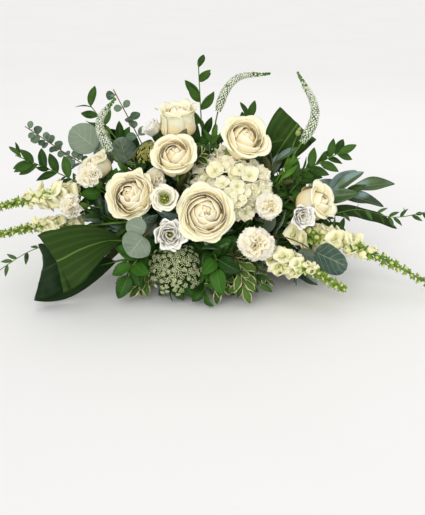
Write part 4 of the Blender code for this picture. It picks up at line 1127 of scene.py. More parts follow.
    def grow_sprig(self, sprig: Cutting) -> None:
        """Sets a filling sprig, on a stem shortened until it is clear of the blooms, if any length is.

        Args:
            sprig: the sprig.
        """
        owner, draw = len(self.owner), random.Random(sprig.name)
        for attempt in range(10):
            stem = self.sprig_stem(sprig.tip, 1 - 0.05 * attempt, draw.gauss(0, 3.0 * attempt))
            outside = stem.line[np.linalg.norm(stem.line - stem.entry, axis=1) > 5]
            if len(outside) > 4 and self.space.roomy(outside, owner, touching=5):
                self.owner[sprig.name] = owner
                self.stems[sprig.name] = stem
                self.leaves[sprig.name] = self.more_leaves(sprig, sprig.count)
                self.space.fill(outside[:-2])
                self.sprigs.append(sprig)
                return

    def sprig_stem(self, tip: Array, share: float, bow: float) -> Stem:
        """One try at the stem of a sprig.

        Args:
            tip: where it would end at its full length.
            share: the share of that length it is given.
            bow: how far its middle rises.

        Returns:
            The stem. One that hangs low first runs over the bowl's rim.
        """
        focus = np.array([0.3 * tip[0], 0.3 * tip[1], STEM_FOCUS_HEIGHT])
        focus = np.clip(focus, (-44, -32, 30), (44, 32, 60))
        end = focus + (tip - focus) * share
        around = math.hypot(end[0], end[1])
        via, droop = (focus + end) / 2 + (0, 0, bow), 0.0
        if end[2] < RIM_CLEAR_HEIGHT + 24 and around > RIM_CLEAR_RADIUS:
            via, droop = end * (RIM_CLEAR_RADIUS / around), 20.0
            via[2] = RIM_CLEAR_HEIGHT + 6 + abs(bow)
        direction = unit(via - focus)
        entry = focus + direction * foam_exit(focus, direction)
        entry[2] = max(entry[2], BOWL_HEIGHT + 7)
        line = flowing_line((entry, via, end), direction, unit(end - via - (0, 0, droop)))
        return Stem(entry - direction * HOLE_DEPTH, entry, np.concatenate([[entry - direction * 2], line]), 1.1)

    def clear_leaf(
        self,
        facing: Sequence[float],
        habit: Habit,
        form: LeafForm,
        point: Array,
        ahead: Array,
        side: int,
        step: int,
        draw: random.Random,
        owner: int,
    ) -> Optional[Leaf]:
        """Turns a leaf about until it meets nothing.

        Args:
            facing: which way the leaves show their upper side.
            habit: how the kind carries its leaves.
            form: the leaf's own form.
            point: where it leaves the stem.
            ahead: the stem's direction there.
            side: 0 or 1 for the two sides, 2 for the end leaf.
            step: its number along the stem.
            draw: the source of chance.
            owner: the number of its cutting.

        Returns:
            The leaf, or None if it never is clear.
        """
        for attempt in range(self.LEAF_TRIES):
            loose = 0.10 + 0.06 * attempt
            tilt, roll, open_out = (draw.gauss(0, loose) for _ in range(3))
            axes = frame_of(ahead, facing)
            around = math.pi * side + (math.pi / 2 if habit.quarter_turns and step % 2 else 0.0) + roll
            outward = turned_about(axes[1], ahead, around)
            spread = (habit.spread if side < 2 else 0.0) + open_out * 0.5
            direction = unit(ahead * math.cos(spread) + outward * math.sin(spread))
            normal = turned_about(np.asarray(facing, float), direction, tilt)
            leaf = Leaf(form.scaled(0.985**attempt), point, frame_of(direction, normal))
            if self.space.clear(leaf.samples(0.3), LEAF_GAP, owner) and self.space.clear(
                leaf.samples(), LEAF_GAP, owner, own_too=False
            ):
                return leaf
        return None


@dataclass(frozen=True)
class Floret:
    """A flower of a spike, with its age from 0 for a full flower to 1 for a bud at the tip."""

    place: Array
    facing: Array
    size: float
    age: float


def snapdragon_florets(cutting: Cutting, stem: Stem, count: int, early: float) -> Iterator[Floret]:
    """The flowers of a spike, turned round its stem and smaller towards its tip, from a little before its start.

    Args:
        cutting: the cut stem.
        stem: its stem.
        count: how many flowers.
        early: how far before the flowering part they begin.

    Returns:
        Each flower from the foot to the tip.
    """
    draw = random.Random(cutting.name)
    for i in range(count):
        share = (i + 0.3) / count
        at = stem_share(cutting, stem, share * (1 + early) - early)
        point, ahead = along_line(stem.line, min(max(at, 0.1), 0.985))
        around = i * GOLDEN_TURN + draw.uniform(-0.2, 0.2)
        outward = turned_about(frame_of(ahead, (0, -0.3, 1))[1], ahead, around)
        yield Floret(point, unit(outward + ahead * 0.55), cutting.size * spike_swell(share), share)


def deselect() -> None:
    """Leaves nothing selected."""
    bpy.ops.object.select_all(action="DESELECT")


def picked(piece: bpy.types.Object) -> None:
    """Selects one object alone and makes it active.

    Args:
        piece: the object.
    """
    deselect()
    piece.select_set(True)
    bpy.context.view_layer.objects.active = piece


def applied(piece: bpy.types.Object, kind: str, **settings: object) -> None:
    """Adds a modifier to an object, sets it and applies it.

    Args:
        piece: the object.
        kind: the modifier's type.
        **settings: what is set on it.
    """
    picked(piece)
    bpy.ops.object.modifier_add(type=kind)
    modifier = piece.modifiers[-1]
    for name, value in settings.items():
        setattr(modifier, name, value)
    bpy.ops.object.modifier_apply(modifier=modifier.name)


def read(rows: Sequence, name: str, width: int = 1, kind: type = float) -> Array:
    """One property of a mesh.

    Args:
        rows: its points, corners or faces.
        name: the property.
        width: how many numbers each has.
        kind: the type of the numbers.

    Returns:
        All numbers in one row.
    """
    values = np.zeros(len(rows) * width, kind)
    rows.foreach_get(name, values)
    return values


@dataclass
class Shape:
    """A surface in millimetres: points, faces as corners and sizes, and the UVs, tones and slots of its finish."""

    points: Array
    corners: Array
    sizes: Array
    uvs: Array
    tones: Array
    slots: Array

    @classmethod
    def taken(cls, holder: bpy.types.Object) -> "Shape":
        """The shape of a mesh object, which is then removed.

        Args:
            holder: the object.

        Returns:
            The shape in millimetres.
        """
        mesh = holder.data
        points = read(mesh.vertices, "co", 3)
        corners = read(mesh.loops, "vertex_index", kind=np.int32)
        sizes, slots = (read(mesh.polygons, name, kind=np.int32) for name in ("loop_total", "material_index"))
        uvs = read(mesh.uv_layers[0].data, "uv", 2) if mesh.uv_layers else np.zeros(len(corners) * 2)
        toned = "tone" in mesh.attributes
        tones = read(mesh.attributes["tone"].data, "value") if toned else np.zeros(len(mesh.vertices))
        bpy.data.objects.remove(holder)
        bpy.data.meshes.remove(mesh)
        return cls(points.reshape(-1, 3) / MM, corners, sizes, uvs.reshape(-1, 2), tones, slots)

    def row_order(self) -> Array:
        """The numbers of a flat sheet's points, row by row from its foot."""
        return np.lexsort((np.round(self.points[:, 0], 5), np.round(self.points[:, 1], 5)))

    def moved(self, points: Array) -> "Shape":
        """The same surface with its points elsewhere."""
        return replace(self, points=np.asarray(points, float).reshape(-1, 3))

    def toned(self, tone: float) -> "Shape":
        """The same surface in one tone."""
        return replace(self, tones=np.full(len(self.points), float(tone)))

    def dressed(self, slot: int) -> "Shape":
        """The same surface in one finish slot."""
        return replace(self, slots=np.full(len(self.sizes), slot, np.int32))

    def flipped(self) -> "Shape":
        """The same surface facing the other way.

        Returns:
            The shape with each face's corners in reverse.
        """
        ends = np.cumsum(self.sizes)
        order = np.concatenate([np.arange(e - s, e)[::-1] for s, e in zip(self.sizes, ends)])
        return replace(self, corners=self.corners[order], uvs=self.uvs[order])

    @staticmethod
    def joined(shapes: Sequence["Shape"]) -> "Shape":
        """All shapes as one.

        Args:
            shapes: the shapes.

        Returns:
            One shape.
        """
        starts = np.cumsum([0, *[len(s.points) for s in shapes]])
        corners = np.concatenate([s.corners + start for s, start in zip(shapes, starts)]).astype(np.int32)
        names = ("points", "sizes", "uvs", "tones", "slots")
        return Shape(corners=corners, **{name: np.concatenate([getattr(s, name) for s in shapes]) for name in names})

    def spread(self, bases: Array, frames: Array, scales: Array, tones: Array) -> "Shape":
        """Copies of a small shape.

        Args:
            bases: where each copy's origin goes.
            frames: each copy's x, y and z directions in rows.
            scales: each copy's size.
            tones: what is added to each copy's tone.

        Returns:
            All copies as one shape.
        """
        number, count = len(bases), len(self.points)
        points = np.einsum("pi,nij->npj", self.points, frames) * scales[:, None, None] + bases[:, None]
        corners = (self.corners[None] + np.arange(number)[:, None] * count).reshape(-1)
        return Shape(
            points.reshape(-1, 3),
            corners.astype(np.int32),
            np.tile(self.sizes, number),
            np.tile(self.uvs, (number, 1)),
            (self.tones[None] + tones[:, None]).reshape(-1),
            np.tile(self.slots, number),
        )

    def spread_over(self, homes: Sequence[tuple]) -> "Shape":
        """Copies of a small shape, one for each row of base, directions, size and tone."""
        return self.spread(*(np.array(row) for row in zip(*homes)))

    def piece(self, name: str) -> bpy.types.Object:
        """A mesh object of this shape, in metres.

        Args:
            name: its name.

        Returns:
            The object, in the scene.
        """
        mesh = bpy.data.meshes.new(name)
        mesh.vertices.add(len(self.points))
        mesh.vertices.foreach_set("co", (self.points * MM).astype(np.float32).reshape(-1))
        mesh.loops.add(len(self.corners))
        mesh.loops.foreach_set("vertex_index", self.corners)
        mesh.polygons.add(len(self.sizes))
        starts = np.concatenate([[0], np.cumsum(self.sizes)[:-1]]).astype(np.int32)
        mesh.polygons.foreach_set("loop_start", starts)
        mesh.polygons.foreach_set("material_index", self.slots.astype(np.int32))
        mesh.update(calc_edges=True)
        mesh.uv_layers.new(name="surface").data.foreach_set("uv", self.uvs.astype(np.float32).reshape(-1))
        tone = mesh.attributes.new("tone", "FLOAT", "POINT")
        tone.data.foreach_set("value", self.tones.astype(np.float32))
        mesh.shade_smooth()
        made = bpy.data.objects.new(name, mesh)
        bpy.context.scene.collection.objects.link(made)
        return made

    def thickened(self, thickness: float, underside: int = 0, levels: int = 0) -> "Shape":
        """The sheet as a closed wall.

        Args:
            thickness: of the wall.
            underside: how many slots on the underside's finish lies.
            levels: of subdivision.

        Returns:
            The wall, with the sheet in its middle.
        """
        holder = self.piece("wall")
        holder.data.materials.clear()
        for _ in range(underside + 1):
            holder.data.materials.append(None)
        applied(
            holder, "SOLIDIFY", thickness=thickness * MM, offset=0.0, use_even_offset=False, material_offset=underside
        )
        if levels:
            applied(holder, "SUBSURF", levels=levels, render_levels=levels)
        return Shape.taken(holder)


class Sheets:
    """Flat sheets of faces, each size drawn once with the grid primitive."""

    drawn: dict[tuple[int, int], Shape] = {}

    @classmethod
    def sheet(cls, across: int, along: int) -> Shape:
        """A sheet of across by along faces whose points and UVs run from 0 to 1 on x and y.

        Args:
            across: faces over its width.
            along: faces along it.

        Returns:
            The sheet.
        """
        if (across, along) not in cls.drawn:
            deselect()
            bpy.ops.mesh.primitive_grid_add(
                x_subdivisions=across, y_subdivisions=along, size=MM, location=(0.5 * MM, 0.5 * MM, 0)
            )
            holder = bpy.context.object
            bpy.ops.object.transform_apply(location=True, rotation=True, scale=True)
            cls.drawn[across, along] = Shape.taken(holder)
        return cls.drawn[across, along]


def drawn_stalks(lines: Sequence[tuple[Array, Array]], sides: int = 1) -> Shape:
    """Round stalks.

    Args:
        lines: the points and the radii of each stalk.
        sides: the bevel resolution of their section.

    Returns:
        All stalks as one shape, drawn as bevelled curves and made a mesh.
    """
    curve = bpy.data.curves.new("stalks", "CURVE")
    curve.dimensions = "3D"
    curve.bevel_depth = MM
    curve.bevel_resolution = sides
    curve.use_fill_caps = True
    for line, radii in lines:
        spline = curve.splines.new("POLY")
        spline.points.add(len(line) - 1)
        spline.points.foreach_set("co", np.c_[np.asarray(line) * MM, np.ones(len(line))].reshape(-1))
        spline.points.foreach_set("radius", np.asarray(radii, float))
    holder = bpy.data.objects.new("stalks", curve)
    bpy.context.scene.collection.objects.link(holder)
    picked(holder)
    bpy.ops.object.convert(target="MESH")
    made = bpy.context.object
    bpy.ops.object.mode_set(mode="EDIT")
    bpy.ops.mesh.select_all(action="SELECT")
    bpy.ops.mesh.remove_doubles(threshold=0.00001)
    bpy.ops.mesh.normals_make_consistent(inside=False)
    bpy.ops.object.mode_set(mode="OBJECT")
    return Shape.taken(made)


def bead(segments: int, rings: int, radii: Sequence[float] = (1, 1, 1), centre: Sequence[float] = (0, 0, 0)) -> Shape:
    """A round bead, its poles up and down.

    Args:
        segments: faces round it.
        rings: faces from pole to pole.
        radii: half its width, depth and height.
        centre: where its middle lies.

    Returns:
        The closed bead.
    """
    deselect()
    bpy.ops.mesh.primitive_uv_sphere_add(segments=segments, ring_count=rings, radius=MM)
    made = Shape.taken(bpy.context.object)
    return made.moved(made.points * radii + centre)


def stem_line(stem: Stem) -> tuple[Array, Array]:
    """The drawn line of a cut stem and its radii, with a few points in its hole.

    Args:
        stem: its stem.

    Returns:
        Its points and a radius at each.
    """
    line = np.concatenate([[stem.inner], stem.line[2::2], stem.line[-1:]])
    keep = np.concatenate([[True], np.linalg.norm(np.diff(line, axis=0), axis=1) > 0.05])
    line = line[keep]
    return line, np.linspace(stem.radius, stem.radius * 0.72, len(line))


def tint(code: str) -> Colour:
    """A colour in linear light from its six-digit code."""
    parts = [int(code[i : i + 2], 16) / 255 for i in (0, 2, 4)]
    return tuple(p / 12.92 if p <= 0.04045 else ((p + 0.055) / 1.055) ** 2.4 for p in parts)


def tints(codes: str) -> list[Colour]:
    """Colours in linear light from their codes with spaces between."""
    return [tint(code) for code in codes.split()]


class Dye:
    """Builds one material from nodes."""

    def __init__(self, name: str, roughness: float, **shader: float) -> None:
        """A new material, with the shader's own values.

        Args:
            name: its name.
            roughness: of the shader.
            **shader: values of the shader's other sockets.
        """
        self.material = bpy.data.materials.new(name)
        self.material.use_nodes = True
        self.tree = self.material.node_tree
        self.shader = self.tree.nodes["Principled BSDF"]
        self.shader.inputs["Roughness"].default_value = roughness
        for socket, value in shader.items():
            self.shader.inputs[socket.replace("_", " ")].default_value = value

    def node(self, kind: str, *inputs: object, **settings: object) -> bpy.types.Node:
        """A new node with its inputs in order, each a socket, a value or None.

        Args:
            kind: the node's type.
            *inputs: each a socket, a value or None.
            **settings: what is set on it.

        Returns:
            The node.
        """
        made = self.tree.nodes.new(kind)
        for name, value in settings.items():
            setattr(made, name, value)
        for socket, value in zip(made.inputs, inputs):
            if isinstance(value, bpy.types.NodeSocket):
                self.tree.links.new(value, socket)
            elif value is not None:
                socket.default_value = value
        return made

    def sums(self, operation: str, a: object, b: object = None, c: object = None) -> bpy.types.NodeSocket:
        """The result of a Math node."""
        return self.node("ShaderNodeMath", a, b, c, operation=operation).outputs[0]

    def split(self, vector: bpy.types.NodeSocket) -> tuple[bpy.types.NodeSocket, bpy.types.NodeSocket]:
        """The x and y of a vector."""
        made = self.node("ShaderNodeSeparateXYZ", vector)
        return made.outputs[0], made.outputs[1]

    def place(self) -> bpy.types.NodeSocket:
        """Object coordinates."""
        return self.node("ShaderNodeTexCoord").outputs["Object"]

    def surface(self) -> tuple[bpy.types.NodeSocket, bpy.types.NodeSocket]:
        """The piece's own UV map: across and along."""
        return self.split(self.node("ShaderNodeUVMap", uv_map="surface").outputs[0])

    def tone(self) -> bpy.types.NodeSocket:
        """The piece's own tone."""
        return self.node("ShaderNodeAttribute", attribute_name="tone").outputs["Fac"]

    def noise(self, vector: object, scale: float, detail: float = 2.0) -> bpy.types.NodeSocket:
        """Noise from 0 to 1.

        Args:
            vector: where it is read.
            scale: how fine.
            detail: how many octaves.

        Returns:
            The socket of its value.
        """
        made = self.node("ShaderNodeTexNoise", vector)
        made.inputs["Scale"].default_value = scale
        made.inputs["Detail"].default_value = detail
        return made.outputs[0]

    def ramp(self, share: bpy.types.NodeSocket, *stops: tuple[float, Colour]) -> bpy.types.NodeSocket:
        """A colour from stops along a share.

        Args:
            share: what is looked up.
            *stops: pairs of share and colour.

        Returns:
            The socket of the colour.
        """
        made = self.node("ShaderNodeValToRGB", share)
        bands = made.color_ramp.elements
        while len(bands) < len(stops):
            bands.new(0.5)
        for band, (where, colour) in zip(bands, stops):
            band.position = where
            band.color = (*colour, 1)
        return made.outputs[0]

    def step(
        self, value: object, low: float, high: float, inner: float = 0.0, outer: float = 1.0
    ) -> bpy.types.NodeSocket:
        """A soft step of a value between two bounds."""
        made = self.node("ShaderNodeMapRange", value, low, high, inner, outer, interpolation_type="SMOOTHSTEP")
        return made.outputs[0]

    def blend(self, share: object, first: object, second: object, kind: str = "MIX") -> bpy.types.NodeSocket:
        """Two colours mixed by a share.

        Args:
            share: how much of the second colour.
            first: the colour at nought.
            second: the colour at one.
            kind: how they are blended.

        Returns:
            The socket of the mixed colour.
        """
        made = self.node("ShaderNodeMix", data_type="RGBA", blend_type=kind)
        for socket, value in ((made.inputs[0], share), (made.inputs[6], first), (made.inputs[7], second)):
            if isinstance(value, bpy.types.NodeSocket):
                self.tree.links.new(value, socket)
            else:
                socket.default_value = (*value, 1) if isinstance(value, tuple) else value
        return made.outputs[2]

    def finished(self, colour: bpy.types.NodeSocket, height: bpy.types.NodeSocket, depth: float) -> bpy.types.Material:
        """Joins colour and relief to the shader.

        Args:
            colour: of the surface.
            height: of its relief, from 0 to 1.
            depth: of the relief in millimetres.

        Returns:
            The material.
        """
        bump = self.node("ShaderNodeBump")
        bump.inputs["Strength"].default_value = 1.0
        bump.inputs["Distance"].default_value = depth * MM
        self.tree.links.new(height, bump.inputs["Height"])
        self.tree.links.new(bump.outputs[0], self.shader.inputs["Normal"])
        self.tree.links.new(colour, self.shader.inputs["Base Color"])
        return self.material


@dataclass(frozen=True)
class PetalFinish:
    """A petal: colours of its claw, body and rim, of the innermost and outermost petals, and its fine veins."""

    name: str
    colours: str
    roughness: float = 0.6
    veins: float = 34.0
    relief: float = 0.25
    fade: float = 0.5

    def material(self) -> bpy.types.Material:
        """The finish as a material.

        Returns:
            The material.
        """
        dye = Dye(self.name, self.roughness, Subsurface_Weight=0.12, Subsurface_Scale=0.002, Specular_IOR_Level=0.15)
        dye.shader.inputs["Subsurface Radius"].default_value = (1.0, 0.82, 0.5)
        claw, body, rim, heart, outer = tints(self.colours)
        across, along = dye.surface()
        tone = dye.tone()
        colour = dye.ramp(along, (0.0, claw), (self.fade, body), (0.86, body), (1.0, rim))
        colour = dye.blend(dye.step(tone, 0.0, 0.5, 1.0, 0.0), colour, heart)
        outside = dye.sums("MULTIPLY", dye.step(tone, 0.7, 1.0), dye.step(along, 0.15, 0.95, 0.35, 1.0))
        colour = dye.blend(outside, colour, outer)
        mottle = dye.noise(dye.place(), 38.0, 3.0)
        colour = dye.blend(dye.step(mottle, 0.3, 0.75, 0.0, 0.12), colour, heart)
        streak = dye.sums("MULTIPLY", across, self.veins)
        lines = dye.node("ShaderNodeCombineXYZ", streak, dye.sums("MULTIPLY", along, 2.2), tone).outputs[0]
        vein = dye.noise(lines, 1.0, 2.0)
        colour = dye.blend(dye.step(vein, 0.45, 0.8, 0.0, 0.08), colour, claw)
        return dye.finished(colour, vein, self.relief)


@dataclass(frozen=True)
class LeafFinish:
    """A leaf: its deep and light greens, those of its rib and underside, its margin, and a pale sheen painted in
    patches on one half of the upper side, a painted reflection.
    """

    name: str
    colours: str
    roughness: float = 0.35
    pairs: float = 9.0
    slope: float = 0.5
    rib_width: float = 0.03
    vein_share: float = 0.22
    margin: str = ""
    stripes: float = 0.0
    painted_sheen: str = ""
    gloss: float = 0.1

    def material(self, under: bool = False) -> bpy.types.Material:
        """The finish of the upper side, or of the underside.

        Args:
            under: whether for the underside.

        Returns:
            The material.
        """
        roughness = self.roughness + (0.2 if under else 0.0)
        dye = Dye(self.name + ("_under" if under else ""), roughness, Specular_IOR_Level=self.gloss)
        across, along = dye.surface()
        tone = dye.tone()
        middle = dye.sums("ABSOLUTE", dye.sums("SUBTRACT", across, 0.5))
        patch = dye.noise(dye.place(), 45.0, 3.0)
        blotch = dye.sums("ADD", dye.sums("MULTIPLY", patch, 0.7), dye.sums("MULTIPLY", tone, 0.5))
        deep, light, rib_colour, underside = tints(self.colours)
        if under:
            deep, light = underside, tuple(0.6 * u + 0.4 * l for u, l in zip(underside, light))
        colour = dye.blend(dye.step(blotch, 0.25, 0.85), deep, light)
        # Painted reflection: a pale blue sheen painted in patches over one half of the upper side.
        if self.painted_sheen and not under:
            painted_sheen_patches = dye.step(dye.noise(dye.place(), 18.0, 1.0), 0.42, 0.6, 0.0, 0.8)
            colour = dye.blend(dye.sums("MULTIPLY", painted_sheen_patches, dye.step(across, 0.47, 0.55)), colour, tint(self.painted_sheen))
        wave = dye.sums("SUBTRACT", along, dye.sums("MULTIPLY", middle, self.slope))
        if self.stripes:
            drift = dye.noise(dye.place(), 12.0, 2.0)
            wavy = dye.sums("ADD", dye.sums("MULTIPLY", across, 44.0), dye.sums("MULTIPLY", drift, 9.0))
            broad = dye.sums("SINE", wavy)
            colour = dye.blend(dye.step(broad, 0.0, 1.0, 0.0, 0.08), colour, rib_colour)
            fine = dye.sums("MULTIPLY", across, self.stripes * math.tau)
            lines = dye.sums("SINE", dye.sums("ADD", fine, dye.sums("MULTIPLY", drift, 5.0)))
        else:
            lines = dye.sums("SINE", dye.sums("MULTIPLY", wave, self.pairs * math.tau))
        veins = dye.step(lines, 0.35 if self.stripes else 0.82, 1.0)
        rib = dye.step(middle, 0.0, self.rib_width, 1.0, 0.0)
        colour = dye.blend(dye.sums("MULTIPLY", veins, self.vein_share), colour, rib_colour)
        if self.margin:
            wander = dye.sums("MULTIPLY", dye.noise(dye.place(), 130.0, 2.0), 0.24)
            colour = dye.blend(dye.step(dye.sums("ADD", middle, wander), 0.49, 0.53), colour, tint(self.margin))
        colour = dye.blend(dye.sums("MULTIPLY", rib, 0.75), colour, rib_colour)
        grain = dye.sums("MULTIPLY", dye.noise(dye.place(), 900.0, 2.0), 0.35)
        height = dye.sums("ADD", grain, dye.sums("MULTIPLY", dye.sums("MAXIMUM", veins, rib), 0.9 if under else -0.9))
        return dye.finished(colour, height, 0.22)


@dataclass(frozen=True)
class StemFinish:
    """A stalk, mottled between two colours."""

    name: str
    colours: str
    roughness: float = 0.5

    def material(self) -> bpy.types.Material:
        """The finish as a material.

        Returns:
            The material.
        """
        dye = Dye(self.name, self.roughness, Specular_IOR_Level=0.2)
        patch = dye.noise(dye.place(), 70.0, 2.0)
        grain = dye.noise(dye.place(), 700.0, 2.0)
        return dye.finished(dye.blend(dye.step(patch, 0.3, 0.7), *tints(self.colours)), grain, 0.25)


@dataclass(frozen=True)
class GlazeFinish:
    """The bowl's glaze, a little uneven and speckled."""

    name: str = "bowl_glaze"
    ground: Colour = tint("2A3A2C")
    fleck: Colour = tint("1C2A20")

    def material(self) -> bpy.types.Material:
        """The finish as a material.

        Returns:
            The material.
        """
        dye = Dye(self.name, 0.28, Coat_Weight=0.3)
        fleck = dye.step(dye.noise(dye.place(), 420.0, 3.0), 0.62, 0.72)
        pool = dye.noise(dye.place(), 16.0, 2.0)
        colour = dye.blend(fleck, dye.blend(pool, self.ground, self.fleck), self.fleck)
        return dye.finished(colour, pool, 0.6)


@dataclass(frozen=True)
class FoamFinish:
    """Wet floral foam: fine open cells in a dark green."""

    name: str = "wet_foam"
    wet: Colour = tint("1F4A2C")
    cell: Colour = tint("0F2A18")

    def material(self) -> bpy.types.Material:
        """The finish as a material.

        Returns:
            The material.
        """
        dye = Dye(self.name, 0.85)
        cells = dye.noise(dye.place(), 900.0, 4.0)
        patch = dye.noise(dye.place(), 25.0, 2.0)
        colour = dye.blend(dye.step(cells, 0.4, 0.6), self.cell, dye.blend(patch, self.wet, self.cell))
        return dye.finished(colour, cells, 1.2)


@dataclass(frozen=True)
class FloorFinish:
    """The plain pale floor."""

    name: str = "pale_floor"
    pale: Colour = tint("F4F3F1")

    def material(self) -> bpy.types.Material:
        """The finish as a material.

        Returns:
            The material.
        """
        dye = Dye(self.name, 0.7)
        cloud = dye.noise(dye.place(), 2.0, 2.0)
        return dye.finished(dye.blend(cloud, self.pale, tint("EFEEEC")), dye.noise(dye.place(), 300.0, 2.0), 0.05)


PETAL, GREEN, THIRD, FOURTH = 0, 1, 2, 3


@dataclass(frozen=True)
class CupPetal:
    """A petal of a cup: where it stands, how it leans and how its rim rolls, with angles in degrees from outward."""

    reach: float
    low: float
    top: float
    azimuth: float
    span: float
    lean: tuple[float, float, float, float]
    side_roll: float = 0.0
    rounding: float = 0.22
    overlap: float = 0.1
    ruffle: float = 0.0
    waves: float = 2.5
    phase: float = 0.0
    foot: float = 0.4

    def drawn(self, across: int, along: int) -> Shape:
        """The petal as a sheet of faces, its outer side outwards.

        Args:
            across: faces over its width.
            along: faces along it.

        Returns:
            The surface.
        """
        sheet = Sheets.sheet(across, along)
        order = sheet.row_order()
        grid = sheet.points[order].reshape(along + 1, across + 1, 3)
        u = grid[:, :, 0] * 2 - 1
        t = grid[:, :, 1] * (1 - self.rounding * np.abs(u) ** 2.2)
        foot, belly, shoulder, lip = self.lean
        curl = lip - self.side_roll * np.abs(u) ** 1.5
        lean = foot + (belly - foot) * smooth(t / 0.35) + (shoulder - belly) * smooth((t - 0.35) / 0.4)
        lean = np.radians(lean + (curl - shoulder) * np.clip((t - 0.74) / 0.26, 0, 1) ** 1.2)
        step = np.diff(t, axis=0)
        middle = (lean[1:] + lean[:-1]) / 2
        out = np.vstack([np.zeros((1, across + 1)), np.cumsum(np.cos(middle) * step, axis=0)])
        rise = np.vstack([np.zeros((1, across + 1)), np.cumsum(np.sin(middle) * step, axis=0)])
        centre = (across + 1) // 2
        length = (self.top - self.low) / max(rise[:, centre].max(), 1e-3)
        widest = max(out[:, centre].max(), 1e-3) * length
        start = max(self.reach - widest, 0.04 * self.reach)
        squeeze = min((self.reach - start) / widest, 1.6)
        radius = np.maximum(start + out * length * squeeze, 0.1 * self.reach)
        height = self.low + rise * length
        half = self.span * (self.foot + (1 - self.foot) * smooth(t / 0.5)) * (1 - 0.12 * smooth((t - 0.8) / 0.2))
        wave = np.sin(u * self.waves * math.pi / 2 + self.phase)
        radius = radius * (1 + self.overlap * u) + self.reach * self.ruffle * t**3 * wave
        height = height + self.reach * self.ruffle * 0.8 * t**4 * np.cos(u * self.waves * 2.1 + 2 * self.phase)
        angle = self.azimuth + u * half
        points = np.stack([radius * np.cos(angle), radius * np.sin(angle), height], -1).reshape(-1, 3)
        placed = np.empty_like(points)
        placed[order] = points
        return sheet.moved(placed)


def calyx(base_radius: float, length: float, sepals: int, spread: float, width: float, draw: random.Random) -> Shape:
    """A green cup with sepals under a bloom, round +Z from the origin.

    Args:
        base_radius: of the cup.
        length: how long.
        sepals: how many sepals.
        spread: their angle above level.
        width: how wide.
        draw: the source of chance.

    Returns:
        The calyx in the green finish.
    """
    parts = [bead(12, 8, (base_radius, base_radius, base_radius * 1.15), (0, 0, base_radius * 0.4))]
    for k in range(sepals):
        form = LeafForm(length, width, 0.3, 0.9, 1.0 + draw.uniform(-0.4, 0.5), 0.35)
        azimuth = math.tau * k / sepals + draw.uniform(-0.15, 0.15)
        along = (math.cos(azimuth) * math.cos(spread), math.sin(azimuth) * math.cos(spread), math.sin(spread))
        axes = frame_of(along, (-math.cos(azimuth), -math.sin(azimuth), 0.6))
        start = np.array([math.cos(azimuth), math.sin(azimuth), 0.3]) * base_radius * 0.7
        parts.append(blade(form, 4, 8, start, axes, draw))
    return Shape.joined(parts).dressed(GREEN)


def blade(
    form: LeafForm,
    across: int,
    along: int,
    base: Array,
    axes: Array,
    draw: random.Random,
    wave: float = 0.04,
    waves: float = 2.0,
    twist: float = 0.15,
    wall: float = 0.45,
    slot: int = GREEN,
    underside: int = 0,
    teeth: float = 0.0,
) -> Shape:
    """A leaf blade.

    Args:
        form: its outline and bend.
        across: faces over its width.
        along: faces along it.
        base: its base point.
        axes: its own directions.
        draw: the source of chance.
        wave: how far its margin waves, as a share of its width.
        waves: how many waves a side.
        twist: how far it turns about its length, in radians.
        wall: its thickness.
        slot: its finish.
        underside: how many slots on the finish of the underside lies.
        teeth: how deep its margin is toothed, as a share of its width.

    Returns:
        The closed blade.
    """
    sheet = Sheets.sheet(across, along)
    t, s = sheet.points[:, 0] * 2 - 1, sheet.points[:, 1]
    s = 0.012 + 0.976 * s
    points = form.surface(s, t)
    phase, turn, sway = any_turn(draw), draw.gauss(0, twist), draw.gauss(0, 0.05)
    reach = np.abs(t) ** 2
    lift = form.width * wave * np.sin(s * waves * math.tau + phase + 1.3 * t) * reach * np.sin(np.pi * s) ** 0.5
    points[:, 2] += lift
    if teeth:
        edge = np.abs(t) > 0.99
        points[:, 0] += edge * form.width * teeth * np.where(np.round(sheet.points[:, 1] * along) % 2 == 0, 1, -0.4)
    points[:, 1] += sway * form.length * s * s
    points = np.stack([points[:, 0], *spun(points[:, 1], points[:, 2], turn * s)], -1)
    tone = draw.uniform(0, 1)
    shape = sheet.moved(base + (points + (form.stalk, 0, 0)) @ axes).flipped().toned(tone)
    return replace(shape.thickened(wall, underside), slots=shape_slots(shape, slot, underside))


def shape_slots(shape: Shape, slot: int, underside: int) -> Array:
    """The finish slots of a wall made from a sheet: its top, its underside, then its rim.

    Args:
        shape: the sheet.
        slot: the finish of the upper side.
        underside: how many slots on the finish of the underside lies.

    Returns:
        A slot for each face.
    """
    number = len(shape.sizes)
    rim = boundary_edges(shape)
    return np.concatenate(
        [np.full(number, slot), np.full(number, slot + underside), np.full(rim, slot)]
    ).astype(np.int32)


def boundary_edges(shape: Shape) -> int:
    """How many edges of a sheet of four-cornered faces lie on its outline.

    Args:
        shape: the sheet.

    Returns:
        The number of edges.
    """
    corners = shape.corners.reshape(-1, 4)
    edges = np.sort(np.stack([corners, np.roll(corners, -1, 1)], -1).reshape(-1, 2), 1)
    _, counts = np.unique(edges, axis=0, return_counts=True)
    return int((counts == 1).sum())


def on_head(shape: Shape, cutting: Cutting, base: Optional[Array] = None) -> Shape:
    """A shape modelled round +Z, set on its stem facing as the cutting does."""
    return shape.moved(axial(shape.points, cutting.head_base if base is None else base, unit(cutting.facing)))


